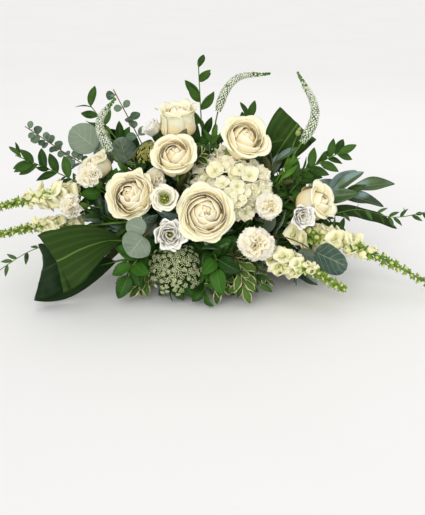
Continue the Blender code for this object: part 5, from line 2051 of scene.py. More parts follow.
@dataclass
class Bloom:
    """What all cut flowers share: a cutting, its stem, finishes and leaves, and the step into the scene."""

    cutting: Cutting
    stem: Stem
    finishes: Sequence[bpy.types.Material]
    leaves: Sequence[Leaf] = ()
    slot_name: str = "rose_petals"

    def __post_init__(self) -> None:
        """Seeds its chance by its name."""
        self.draw = random.Random(self.cutting.name + " looks")

    def parts(self) -> list[Shape]:
        """The shapes of the bloom, in the arrangement's axes."""
        raise NotImplementedError

    def stalk(self, reach: float = 0.0) -> Shape:
        """The cut stem.

        Args:
            reach: how far it goes on past its end.

        Returns:
            The stalk in the green finish.
        """
        line, radii = stem_line(self.stem)
        if reach:
            line = np.concatenate([line, [line[-1] + unit(line[-1] - line[-2]) * reach]])
            radii = np.append(radii, radii[-1])
        return drawn_stalks([(line, radii)], 2).dressed(GREEN)

    def dressed(self, name: str) -> bpy.types.Object:
        """The piece in its finishes, on the arrangement.

        Args:
            name: its name.

        Returns:
            The piece.
        """
        piece = Shape.joined([self.stalk(), *self.parts()]).piece(name)
        for finish in self.finishes:
            piece.data.materials.append(finish)
        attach(piece, "root")
        return piece

    def built(self) -> bpy.types.Object:
        """The piece, dressed, standing for its solid.

        Returns:
            The piece.
        """
        piece = self.dressed(self.cutting.name + "_fine")
        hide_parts(self.cutting.name)
        return piece


def tiny_flower(lobes: int, notch: float, rise: float, dip: float, centre: float, foot: float) -> Shape:
    """A flower of radius one with pointed lobes, closed below.

    Args:
        lobes: how many it has.
        notch: the radius between them.
        rise: the height of their tips.
        dip: the height of the notches.
        centre: the height of its middle.
        foot: how far down it ends.

    Returns:
        The flower, facing +Z.
    """
    count = 2 * lobes
    turn = math.tau * np.arange(count) / count
    out, tip = np.where(np.arange(count) % 2 == 0, 1.0, notch), np.where(np.arange(count) % 2 == 0, rise, dip)
    ring = np.stack([out * np.cos(turn), out * np.sin(turn), tip], -1)
    points = np.array([(0, 0, centre), (0, 0, foot), *ring])
    after = [(2 + k, 2 + (k + 1) % count) for k in range(count)]
    corners = np.array([*((0, a, b) for a, b in after), *((1, b, a) for a, b in after)], np.int32).reshape(-1)
    flat = points[corners][:, :2]
    uvs = np.stack([flat[:, 0] * 0.5 + 0.5, np.hypot(flat[:, 0], flat[:, 1])], -1)
    faces = 2 * count
    return Shape(points, corners, np.full(faces, 3, np.int32), uvs, np.zeros(count + 2), np.zeros(faces, np.int32))


@dataclass(frozen=True)
class RoseLook:
    """How far a rose has opened: petals in its furled heart and in each ring, and how they lean and roll."""

    heart: int = 12
    heart_share: float = 0.42
    rings: tuple[int, ...] = (5, 5, 5)
    lean: float = 20.0
    lip: float = 90.0
    drop: float = 0.16
    ruffle: float = 0.03
    roll: float = 40.0


ROSE_LOOKS: dict[str, RoseLook] = {
    "rose_front": RoseLook(14, 0.38, (4, 4, 5, 5, 6, 6), 56, 98, 0.5, 0.05, 20),
    "rose_middle": RoseLook(10, 0.4, (3, 4, 4, 5), 30, 120, 0.26, 0.035, 34),
    "rose_right": RoseLook(10, 0.4, (3, 4, 5, 5), 36, 120, 0.3, 0.04, 34),
    "rose_top": RoseLook(10, 0.46, (4, 5, 6), 2, 90, 0.05, 0.07, 30),
    "rose_left": RoseLook(14, 0.38, (6, 7, 7, 8), 48, 86, 0.44, 0.1, 26),
    "rose_far_right": RoseLook(9, 0.42, (3, 4, 5), 22, 110, 0.16, 0.05, 45),
    "rose_far_left": RoseLook(9, 0.42, (3, 4, 5), 22, 100, 0.14, 0.04, 45),
}


@dataclass
class Rose(Bloom):
    """A garden rose: a furled heart in rings of cupped petals that roll back at their rims, over five sepals."""

    slot_name: str = "rose_petals"

    def petal(self, share: float, azimuth: float, outer: float, look: RoseLook) -> Shape:
        """One petal.

        Args:
            share: how far out it stands, from 0 to 1.
            azimuth: where it stands.
            outer: 0 in the heart, rising to 1 in the last ring.
            look: how the rose opens.

        Returns:
            The petal as a sheet, toned by how far out it stands.
        """
        size, depth, draw = self.cutting.size, self.cutting.size * self.cutting.depth, self.draw
        opening = outer**1.9
        petal = CupPetal(
            reach=size * share * (1 + draw.uniform(-0.04, 0.0)),
            low=depth * 0.34 * (1 - share) ** 1.5,
            top=depth * (1.15 - look.drop * outer**1.3 - 0.26 * min(share, 0.4) + draw.uniform(-0.03, 0.03)),
            azimuth=azimuth,
            span=(2.1 - 0.9 * share / look.heart_share) if outer == 0 else 1.12 - 0.3 * outer**2,
            lean=(
                55 - 35 * opening,
                98 - (0.5 * look.lean + 2) * opening + draw.uniform(-3, 3),
                120 - (look.lean + 25) * opening + draw.uniform(-4, 4),
                138 - (42 + look.lip) * opening + draw.uniform(-12, 12),
            ),
            side_roll=look.roll * (0.2 + outer) * draw.uniform(0.4, 1.4),
            rounding=draw.uniform(0.14, 0.3),
            overlap=0.15 - 0.08 * share,
            ruffle=look.ruffle * (0.35 + share) * draw.uniform(0.4, 1.5),
            waves=draw.uniform(1.6, 3.4),
            phase=any_turn(draw),
            foot=0.4 + 0.4 * min(2 * outer, 1),
        )
        sheet = petal.drawn(*((13, 10) if outer else (10, 9)))
        return sheet.toned(min(max(share + draw.uniform(-0.15, 0.1), 0), 1))

    def parts(self) -> list[Shape]:
        """Petals from the heart outwards, then the calyx.

        Returns:
            The shapes, each in its finish slot, at their place.
        """
        look, draw, size = ROSE_LOOKS[self.cutting.name], self.draw, self.cutting.size
        shapes = []
        for step in range(look.heart):
            share = 0.06 + (look.heart_share - 0.02) * (step / look.heart) ** 0.9
            shapes.append(self.petal(share, step * GOLDEN_TURN + draw.uniform(-0.3, 0.3), 0.0, look))
        turn = any_turn(draw)
        for ring, number in enumerate(look.rings):
            outer = (ring + 1) / len(look.rings)
            share = look.heart_share + (1 - look.heart_share) * outer**1.2
            for k in range(number):
                azimuth = turn + math.tau * k / number + draw.uniform(-0.2, 0.2)
                nudge = draw.uniform(-0.5, 0.2) * 0.4 * (1 - look.heart_share) / len(look.rings)
                shapes.append(self.petal(share + nudge, azimuth, outer, look))
            turn += math.pi / number + 0.25
        head = Shape.joined(shapes).flipped().thickened(0.5).dressed(PETAL)
        under = calyx(0.17 * size, 0.75 * size, 5, -0.1, 0.24 * size, draw)
        wide, high = 0.94 * look.heart_share * size, 0.46 * size * self.cutting.depth
        core = bead(16, 12, (wide, wide, high), (0, 0, high)).dressed(PETAL)
        return [on_head(shape, self.cutting) for shape in (head, core, under)]


@dataclass
class Carnation(Bloom):
    """A carnation: tiers of toothed, ruffled fans packed in a long green calyx."""

    slot_name: str = "carnation_petals"
    tiers: tuple = ((8, 0.12, 0.92), (10, 0.42, 1.0), (11, 0.8, 1.02), (11, 1.15, 1.0), (9, 1.5, 0.96))

    def fan(self, lean: float, azimuth: float, length: float, width: float) -> Shape:
        """One petal: a narrow claw that spreads to a ruffled, toothed rim.

        Args:
            lean: how far it opens, in radians.
            azimuth: where it stands.
            length: of the petal.
            width: of the petal's rim.

        Returns:
            The petal as a sheet.
        """
        draw = self.draw
        across, along = 16, 5
        sheet = Sheets.sheet(across, along)
        u, v = sheet.points[:, 0] * 2 - 1, sheet.points[:, 1]
        teeth = np.where(np.round(sheet.points[:, 0] * across) % 2 == 0, 0.024, -0.016)
        t = v * (1 - 0.2 * np.abs(u) ** 2.4) + (v > 0.99) * teeth * draw.uniform(0.6, 1.4)
        bow = lean * smooth((t - 0.1) / 0.75)
        steps = np.linspace(0, 1.1, 45)
        angles = lean * smooth((steps - 0.1) / 0.75)
        out = np.concatenate([[0], np.cumsum(np.sin((angles[1:] + angles[:-1]) / 2)) * steps[1]])
        up = np.concatenate([[0], np.cumsum(np.cos((angles[1:] + angles[:-1]) / 2)) * steps[1]])
        rho = np.interp(t, steps, out) * length
        rise = np.interp(t, steps, up) * length
        half = 0.5 * width * (0.07 + 0.93 * smooth((t - 0.2) / 0.6))
        folds = np.sin(u * math.pi * draw.uniform(1.0, 1.7) + any_turn(draw))
        fine = np.sin(u * math.pi * draw.uniform(2.6, 3.6) + any_turn(draw))
        push = width * (0.13 * folds + 0.06 * fine) * smooth((t - 0.35) / 0.65) ** 1.3
        radial = np.stack([np.cos(bow), np.zeros_like(bow), -np.sin(bow)], -1)
        local = np.stack([rho, half * u, rise], -1) + radial * push[:, None]
        return sheet.moved(np.stack([*spun(local[:, 0], local[:, 1], azimuth), local[:, 2]], -1))

    def parts(self) -> list[Shape]:
        """The tiers, then the calyx.

        Returns:
            The shapes, each in its finish slot, at their place.
        """
        size, draw = self.cutting.size, self.draw
        shapes = []
        lobes, phase = draw.choice((2, 3)), any_turn(draw)
        for tier, (number, lean, rim) in enumerate(self.tiers):
            for k in range(number):
                azimuth = math.tau * (k + 0.5 * tier) / number + draw.uniform(-0.2, 0.2)
                reach = rim * (1 + 0.13 * math.sin(lobes * azimuth + phase))
                tilt = lean * draw.uniform(0.85, 1.2) + draw.uniform(0, 0.08)
                length = size * reach * draw.uniform(0.9, 1.08) * 1.32
                fan = self.fan(tilt, azimuth, length, size * draw.uniform(1.0, 1.35))
                shapes.append(fan.toned(min(0.25 + tier * 0.18 + draw.uniform(-0.1, 0.1), 1)))
        head = Shape.joined(shapes).thickened(0.35).dressed(PETAL)
        body = bead(12, 10, (0.24 * size, 0.24 * size, 0.46 * size), (0, 0, -0.05 * size)).dressed(GREEN)
        return [on_head(head, self.cutting), on_head(body, self.cutting)]


@dataclass
class Lisianthus(Bloom):
    """A lisianthus: a cup of broad soft petals round a green pistil and yellow anthers."""

    slot_name: str = "lisianthus_petals"

    def parts(self) -> list[Shape]:
        """Petals, pistil, anthers and calyx.

        Returns:
            The shapes, each in its finish slot, at their place.
        """
        size, draw = self.cutting.size, self.draw
        shapes = []
        open_rings = ((3, 0.66, 0.98, 66), (4, 0.86, 1.04, 40), (5, 1.0, 1.04, 14))
        furled_rings = ((3, 0.3, 1.12, 112), (4, 0.52, 1.12, 100), (4, 0.78, 1.1, 70), (5, 1.0, 1.04, 34))
        furled = self.cutting.name != "lisianthus_open"
        for ring, (number, reach, top, lip) in enumerate(furled_rings if furled else open_rings):
            for k in range(number):
                petal = CupPetal(
                    reach=size * reach * draw.uniform(0.95, 1.0),
                    low=0.02 * size,
                    top=size * top * draw.uniform(0.93, 1.02),
                    azimuth=math.tau * (k + 0.45 * ring) / number + draw.uniform(-0.15, 0.15),
                    span=1.3 - 0.12 * ring,
                    foot=0.85,
                    lean=(25, 78, 72 + 8 * draw.uniform(-1, 1), lip + 14 * draw.uniform(-1, 1)),
                    side_roll=22 * draw.uniform(0, 1),
                    rounding=draw.uniform(0.02, 0.1),
                    overlap=0.14,
                    ruffle=(0.11 if furled else 0.04) * draw.uniform(0.7, 1.3),
                    waves=draw.uniform(3.0, 4.6),
                    phase=any_turn(draw),
                ).drawn(12, 9)
                shapes.append(petal.toned(0.45 + 0.22 * ring + draw.uniform(-0.06, 0.06)))
        head = Shape.joined(shapes).flipped().thickened(0.45).dressed(PETAL)
        middle = (((0.36, 0.36, 0.12), 0.1, GREEN), ((0.13, 0.13, 0.3), 0.34, GREEN), ((0.1, 0.05, 0.04), 0.7, THIRD))
        pistil = [bead(12, 8, np.multiply(wide, size), (0, 0, up * size)).dressed(slot) for wide, up, slot in middle]
        lines = []
        for k in range(6):
            azimuth = math.tau * k / 6 + draw.uniform(-0.2, 0.2)
            foot = np.array([math.cos(azimuth), math.sin(azimuth), 0]) * 0.12 * size
            tip = foot * 2.1 + (0, 0, 0.62 * size)
            lines.append((np.array([foot + (0, 0, 0.1 * size), tip]), (0.35, 0.3)))
            pistil.append(bead(12, 8, (0.9, 0.9, 1.9), tip).dressed(THIRD))
        pistil.append(drawn_stalks(lines, 1).dressed(GREEN))
        under = calyx(0.14 * size, 0.7 * size, 5, 0.5, 0.1 * size, draw)
        return [on_head(part, self.cutting) for part in (head, *pistil, under)]


@dataclass
class Hydrangea(Bloom):
    """A mophead: a dome of four-sepalled florets, each round a small bead."""

    slot_name: str = "hydrangea_florets"
    florets: int = 150
    kinds: int = 6

    def floret(self, draw: random.Random) -> Shape:
        """One floret of radius one: four broad cupped sepals and a bead, facing +Z.

        Args:
            draw: the source of chance.

        Returns:
            The floret.
        """
        shapes = []
        for k in range(4):
            sheet = Sheets.sheet(5, 4)
            u, v = sheet.points[:, 0] * 2 - 1, sheet.points[:, 1]
            along = 0.04 + v * (1 - 0.24 * np.abs(u) ** 2.2) * draw.uniform(0.9, 1.06)
            half = 0.70 * np.sin(np.pi * np.clip(0.05 + 0.80 * v, 0, 1)) ** 0.5
            cup = 0.62 * v * v * (1 if k % 2 else 1.25) + 0.24 * u * u * v - 0.3 * smooth((v - 0.55) / 0.45)
            crumple = 0.13 * v * np.sin(3.6 * u + any_turn(draw)) + 0.03 * np.sin(6 * v + 3 * u)
            angle = k * math.pi / 2 + draw.uniform(-0.12, 0.12)
            z = cup + crumple + (0.03 if k % 2 else -0.01)
            sepal = sheet.moved(np.stack([*spun(along, half * u, angle), z], -1))
            shapes.append(sepal.toned(draw.uniform(-0.08, 0.08)))
        flat = Shape.joined(shapes)
        flat = flat.moved(flat.points * 10)
        wall = flat.thickened(0.28)
        wall = wall.moved(wall.points / 10).dressed(PETAL)
        return Shape.joined([wall, bead(6, 4, (0.09, 0.09, 0.09), (0, 0, 0.07)).dressed(THIRD)])

    def parts(self) -> list[Shape]:
        """The florets on their dome, their stalks and a dark core of buds.

        Returns:
            The shapes, each in its finish slot, at their place.
        """
        cutting, draw = self.cutting, self.draw
        size, facing = cutting.size, unit(cutting.facing)
        form = BLOOMS[Kind.HYDRANGEA]
        depth = (form.back + form.front) * size
        models = [self.floret(draw) for _ in range(self.kinds)]
        homes: list[list] = [[] for _ in models]
        lines = []
        for i, place in enumerate(dome_places(self.florets, 1.78)):
            jitter = np.array([draw.uniform(-0.03, 0.03) for _ in range(3)])
            sink = 1 - 0.16 * (draw.random() ** 1.5)
            spot = (place + jitter) * (1.15 * size, 1.15 * size, 0.88 * depth) * sink + (0, 0, 0.14 * size)
            if axial(spot, cutting.head_base, facing)[2] < cutting.tip[2] - 0.55 * size:
                continue
            out = unit(place * (1, 1, 1.25) + jitter * 18)
            axes = turned_frame(out, any_turn(draw))
            scale = 0.225 * size * draw.uniform(0.8, 1.2)
            homes[i % self.kinds].append((spot, axes, scale, 0.55 + draw.uniform(-0.3, 0.3)))
            if i % 2 == 0:
                lines.append((np.array([spot - out * 0.45 * size, spot - out * 0.01 * size]), (0.6, 0.5)))
        shapes = [model.spread_over(homed) for model, homed in zip(models, homes)]
        shapes.append(drawn_stalks(lines, 0).dressed(GREEN))
        shapes.append(bead(16, 10, (0.66 * size, 0.66 * size, 0.42 * depth), (0, 0, 0.36 * size)).dressed(GREEN))
        return [on_head(Shape.joined(shapes), cutting)]


@dataclass
class Lace(Bloom):
    """A lace flower: rays from one hub, each with a small cushion of tiny five-lobed flowers."""

    slot_name: str = "lace_florets"

    def parts(self) -> list[Shape]:
        """Rays, small rays and flowers.

        Returns:
            The shapes, each in its finish slot, at their place.
        """
        cutting, draw = self.cutting, self.draw
        size, facing = cutting.size, unit(cutting.facing)
        form = BLOOMS[Kind.LACE]
        hub = cutting.tip - facing * form.back * size * 0.9
        depth = (form.back * 0.9 + form.front) * size * 0.9
        heads = cutting.count * 4 + 8
        wide = size / math.sqrt(heads)
        rays, homes, leaves = [], [], []
        for i in range(heads):
            out = math.sqrt((i + 0.5) / heads)
            angle = i * GOLDEN_TURN + draw.uniform(-0.1, 0.1)
            spot = np.array([out * size * 0.92 * math.cos(angle), out * size * 0.92 * math.sin(angle), 0.0])
            spot[2] = depth * (1 - 0.72 * out**2.2) + draw.uniform(-1.2, 1.2)
            outward = unit(spot + (0, 0, 0.25 * depth))
            fork = spot - outward * wide * 0.95
            rays.append((np.array([outward, fork * 0.5 + outward * 0.8, fork]), (0.75, 0.55, 0.45)))
            axes = frame_of(outward, (0.2, 0.5, 0.8))
            number, swell = 14, draw.uniform(0.7, 1.15)
            for k in range(number):
                ring = math.sqrt((k + 0.4) / number)
                side = around(axes, k * GOLDEN_TURN + i)
                lift = wide * 0.3 * (1 - ring**2) + draw.uniform(-0.4, 0.4)
                home = spot + side * ring * wide * swell + outward * lift
                face = unit(outward + side * ring * 0.7)
                frame = turned_frame(face, any_turn(draw))
                homes.append((home, frame, draw.uniform(1.1, 1.6) * (0.75 + size / 150), draw.uniform(0.3, 0.9)))
                if k % 3 == 0:
                    rays.append((np.array([fork, home - face * 0.3]), (0.35, 0.28)))
            form = LeafForm(draw.uniform(0.26, 0.4) * size, 0.11 * size, 0.4, 0.9, 0.5, 0.2)
            if i % 2 == 0:
                axes = frame_of(outward + axes[1] * draw.gauss(0, 0.5), outward)
                leaves.append(blade(form, 2, 5, fork * 0.7, axes, draw, slot=THIRD))
        flowers = tiny_flower(5, 0.5, 0.16, 0.05, 0.02, -0.5).spread_over(homes)
        whole = Shape.joined([flowers.dressed(PETAL), drawn_stalks(rays, 0).dressed(THIRD), *leaves])
        return [whole.moved(axial(whole.points, hub, facing))]


@dataclass
class Snapdragon(Bloom):
    """A snapdragon spike: two-lipped flowers round the stem, then closed buds, then green ones to the tip."""

    slot_name: str = "snapdragon_florets"
    across: int = 15
    along: int = 7

    def flower(self, draw: random.Random, opened: float) -> Shape:
        """One flower about one long, its tube along +X and its upper lip to +Z.

        Args:
            draw: the source of chance.
            opened: 1 for an open flower, less for a closing one.

        Returns:
            The flower.
        """
        sheet = Sheets.sheet(self.across, self.along)
        turn, v = sheet.points[:, 0] * math.tau, sheet.points[:, 1]
        upper = np.cos(turn)
        tube = 0.12 + 0.17 * smooth(v / 0.55) + 0.03 * np.cos(2 * turn) * v
        flare = smooth((v - 0.66) / 0.34) * opened
        lobe = np.abs(np.cos(turn * 2.5 + (0.0 if opened else 0.6)))
        pinch = 1 - 0.55 * np.exp(-((v - 0.74) ** 2) / 0.008) * opened
        radius = tube * pinch + flare * (0.11 + 0.17 * lobe) * (1 + 0.26 * np.sin(3 * turn + any_turn(draw)))
        close = 1 - (1 - opened) * smooth((v - 0.45) / 0.55) * 0.86
        radius = radius * close
        x = 0.92 * v * (1 - 0.2 * opened) + 0.18 * (1 - opened) * v
        x = x - flare**2 * np.where(upper > 0, 0.06 + 0.2 * upper, 0.16 * -upper) + 0.08 * flare * np.sin(5 * turn + 1)
        z = radius * upper + flare * np.where(upper > 0, 0.1 * upper, 0.0)
        y = radius * np.sin(turn) * (1 + 0.15 * flare)
        bulge = 0.24 * opened * np.exp(-((turn - math.pi) ** 2) / 0.6) * np.exp(-((v - 0.78) ** 2) / 0.016)
        x, z = x + bulge * 0.6, z + bulge * 0.9
        wall = sheet.moved(np.stack([x, y, z], -1) * 10).flipped().thickened(0.28)
        wall = wall.moved(wall.points / 10).dressed(PETAL)
        throat = bead(8, 6, (0.13, 0.21, 0.17), (0.5, 0, -0.04)).toned(0.4).dressed(PETAL)
        return Shape.joined([wall, throat, *self.sepals(LeafForm(0.42, 0.24, 0.45, 0.7, 0.4, 0.3), 0.55, 0.4, draw)])

    def sepals(self, form: LeafForm, lean: float, out: float, draw: random.Random) -> Iterator[Shape]:
        """Five sepals round the foot of a flower that lies along +X.

        Args:
            form: of one sepal.
            lean: how far it leans out.
            out: how far out it starts, in tenths.
            draw: the source of chance.

        Yields:
            Each sepal, drawn at ten times its size and brought back, for the sake of its wall.
        """
        for k in range(5):
            side = np.array([0, math.cos(math.tau * k / 5), math.sin(math.tau * k / 5)])
            axes = frame_of(side * lean + (1, 0, 0), side * -1 + (0.4, 0, 0))
            leaf = blade(form.scaled(10), 2, 4, side * out, axes, draw, wall=0.3, slot=THIRD)
            yield leaf.moved(leaf.points / 10)

    def bud(self, draw: random.Random) -> Shape:
        """A closed bud, one long, with its calyx.

        Args:
            draw: the source of chance.

        Returns:
            The bud.
        """
        body = bead(10, 8)
        points = body.points @ np.array([[0, 0, 1.0], [0, 1.0, 0], [-1.0, 0, 0]])
        points = points * (0.42, 0.2, 0.19) + (0.46, 0, 0)
        sepals = self.sepals(LeafForm(0.84, 0.42, 0.42, 0.7, 0.5, 0.3), 0.42, 0.5, draw)
        return Shape.joined([body.moved(points).dressed(PETAL), *sepals])

    def parts(self) -> list[Shape]:
        """Flowers and buds up the stem.

        Returns:
            The shapes, each in its finish slot, at their place.
        """
        draw, cutting = self.draw, self.cutting
        models = [self.flower(draw, 1.0) for _ in range(3)] + [self.flower(draw, 0.45), self.bud(draw)]
        homes: list[list] = [[] for _ in models]
        for i, floret in enumerate(snapdragon_florets(cutting, self.stem, 2 * cutting.count + 24, 0.3)):
            kind = i % 3 if floret.age < 0.42 else (3 if floret.age < 0.56 else 4)
            kind = 4 if kind < 4 and draw.random() < 0.24 else kind
            long = 1.3 if kind < 3 else (1.15 if kind == 3 else 0.92 - 0.1 * floret.age)
            axes = frame_of(floret.facing, unit(self.stem.line[-1] - self.stem.line[-8]))
            axes = np.array([turned_about(a, floret.facing, draw.gauss(0, 0.2)) for a in axes])
            size = max(floret.size * long, 12.5 - 2 * floret.age) * draw.uniform(0.9, 1.2)
            tone = 0.35 + 0.6 * floret.age + draw.uniform(-0.1, 0.1) + (0.35 if kind == 4 else 0)
            homes[kind].append((floret.place, axes, size, tone))
        return [model.spread_over(homed) for model, homed in zip(models, homes) if homed]


@dataclass
class Veronica(Bloom):
    """A veronica: a long curved tail of small white stars between green calyces, on a leafy stem."""

    slot_name: str = "veronica_florets"

    def parts(self) -> list[Shape]:
        """Leaves, stars, calyces and the buds at the tip.

        Returns:
            The shapes, each in its finish slot, at their place.
        """
        cutting, draw, stem = self.cutting, self.draw, self.stem
        homes: dict[str, list] = {"star": [], "calyx": []}
        rings = 38
        for i in range(rings):
            share = (i + 0.2) / rings
            point, ahead = along_line(stem.line, min(stem_share(cutting, stem, share), 1.0))
            axes = frame_of(ahead, (0.1, -1, 0.2))
            radius = cutting.size * spike_swell(share) * min(1.0, 0.6 + 3 * share)
            number = 8 if share < 0.8 else 6
            for k in range(number):
                turn = math.tau * (k + 0.5 * (i % 2)) / number + draw.uniform(-0.12, 0.12)
                side = around(axes, turn)
                face = unit(side + ahead * (0.25 + 0.5 * share))
                frame = turned_frame(face, any_turn(draw))
                bud = share > 0.8 + draw.uniform(-0.1, 0.1)
                if not bud:
                    home = point + side * radius * draw.uniform(0.95, 1.12)
                    scale = cutting.size * 0.42 * draw.uniform(0.8, 1.15)
                    homes["star"].append((home, frame, scale, draw.uniform(0.3, 0.9)))
                turn += math.pi / number + draw.uniform(-0.12, 0.12)
                side = around(axes, turn)
                spread = radius * (0.98 if not bud else 0.85)
                frame = frame_of(ahead, side)[[1, 2, 0]]
                big = 0.17 if not bud else 0.2
                place = point + side * spread + ahead * draw.uniform(-1, 1)
                scale = cutting.size * big * (1.15 - 0.4 * share) * draw.uniform(0.65, 1.3)
                homes["calyx"].append((place, frame, scale, share))
        shapes = []
        star, pip = tiny_flower(4, 0.42, 0.3, 0.1, 0.0, -0.8), bead(6, 4, (1, 1, 1.3))
        for name, model in (("star", star.dressed(PETAL)), ("calyx", pip.dressed(THIRD))):
            shapes.append(model.spread_over(homes[name]))
        for leaf in self.leaves:
            shapes.append(leaf_blade(leaf, draw, FOURTH, teeth=0.08))
        return shapes


@dataclass
class Bud(Bloom):
    """A thin stem that ends in a furled bud between narrow sepals."""

    slot_name: str = "buds"

    def parts(self) -> list[Shape]:
        """The bud and its sepals.

        Returns:
            The shapes, each in its finish slot, at their place.
        """
        size, draw = self.cutting.size, self.draw
        ahead = unit(self.stem.line[-1] - self.stem.line[-2])
        body = bead(16, 14)
        x, y, z = body.points.T
        turn = np.arctan2(y, x)
        radius = np.hypot(x, y) * (1 + 0.13 * np.sin(4 * turn + 3.0 * z)) * (1 - 0.35 * z)
        points = np.stack([radius * np.cos(turn), radius * np.sin(turn), 1.9 * z + 0.5], -1) * 0.55 * size
        cup = calyx(0.3 * size, 1.5 * size, 5, 1.15, 0.3 * size, draw)
        parts = [body.moved(points).toned(0.5).dressed(PETAL), cup]
        return [part.moved(axial(part.points, self.stem.line[-1], ahead)) for part in parts]


def leaf_blade(leaf: Leaf, draw: random.Random, slot: int, across: int = 6, along: int = 10, **look: float) -> Shape:
    """A leaf of a cutting with the finish of its upper side at a slot and its underside's next to it."""
    return blade(leaf.form, across, along, leaf.base, leaf.axes, draw, slot=slot, underside=1, **look)


@dataclass(frozen=True)
class LeafLook:
    """How a kind's blades are drawn: faces across and along, waves of the margin, twist and wall."""

    across: int = 6
    along: int = 10
    wave: float = 0.04
    waves: float = 2.0
    twist: float = 0.15
    wall: float = 0.45

    def drawn(self, leaf: Leaf, draw: random.Random) -> Shape:
        """A leaf at its place, its upper side in the third finish and its underside in the fourth.

        Args:
            leaf: the leaf.
            draw: the source of chance.

        Returns:
            The surface.
        """
        return blade(
            leaf.form, self.across, self.along, leaf.base, leaf.axes, draw,
            self.wave, self.waves, self.twist, self.wall, THIRD, 1,
        )


LEAF_LOOKS: dict[Kind, LeafLook] = {
    Kind.RUSCUS: LeafLook(4, 9, 0.04, 1.2, 0.25),
    Kind.GUNNII: LeafLook(6, 7, 0.05, 1.0, 0.1, 0.4),
    Kind.SILVER_DOLLAR: LeafLook(10, 12, 0.05, 1.1, 0.1, 0.5),
    Kind.SALAL: LeafLook(6, 10, 0.07, 1.5, 0.2),
    Kind.PITTOSPORUM: LeafLook(4, 9, 0.12, 2.0, 0.25),
    Kind.MAGNOLIA: LeafLook(6, 14, 0.06, 1.6, 0.2, 0.6),
    Kind.JASMINE: LeafLook(4, 8, 0.03, 1.0, 0.2, 0.35),
}


@dataclass
class Spray(Bloom):
    """A leafy stem. Its finishes are the upper side, green stem, a spare and the underside."""

    def __post_init__(self) -> None:
        """Names its slot by its kind."""
        super().__post_init__()
        self.slot_name = f"{self.cutting.kind.value}_leaves"

    def parts(self) -> list[Shape]:
        """Leaves and their stalks.

        Returns:
            The shapes, each in its finish slot, at their place.
        """
        shapes, lines = self.blades(), []
        for leaf in self.leaves:
            start = leaf.place(np.array([[-leaf.form.stalk - 0.3, 0, 0]]))[0]
            root = leaf.place(leaf.form.surface(0.02, 0.0).reshape(1, 3))[0]
            ahead = leaf.place(leaf.form.surface(0.2, 0.0).reshape(1, 3))[0]
            thick = 0.45 + leaf.form.length * 0.006
            lines.append((np.array([start, root, ahead - leaf.axes[2] * 0.3]), (thick * 1.2, thick, 0.3)))
        return [*shapes, drawn_stalks(lines, 0).dressed(GREEN)]

    def blades(self) -> list[Shape]:
        """The leaves, each drawn for its own place."""
        return [LEAF_LOOKS[self.cutting.kind].drawn(leaf, self.draw) for leaf in self.leaves]


@dataclass
class Sprig(Spray):
    """A short leafy stem that no solid stands for. Its leaves are copies of six models of a few dozen faces."""

    models: ClassVar[dict[Kind, list[Shape]]] = {}

    def blades(self) -> list[Shape]:
        """Copies of six model leaves of the kind, each at a leaf's place and size.

        Returns:
            A shape for each leaf.
        """
        kind = self.cutting.kind
        form = HABITS[kind].form
        if kind not in self.models:
            plain = replace(LEAF_LOOKS[kind], across=2, along=6)
            drawn = [plain.drawn(Leaf(form, np.zeros(3), np.eye(3)), random.Random(k)) for k in range(6)]
            self.models[kind] = [shape.toned(0) for shape in drawn]
        shapes = []
        for leaf in self.leaves:
            share, tone = np.array([leaf.form.length / form.length]), np.array([self.draw.uniform(0, 1)])
            shapes.append(self.draw.choice(self.models[kind]).spread(leaf.base[None], leaf.axes[None], share, tone))
        return shapes

    def built(self) -> bpy.types.Object:
        """The piece, dressed."""
        return self.dressed(self.cutting.name)


# Strap leaves that lie in shade: they wear a darker copy of the aspidistra finish, painted shade.
SHADED_LEAVES = ("aspidistra_low_left", "aspidistra_back_left")


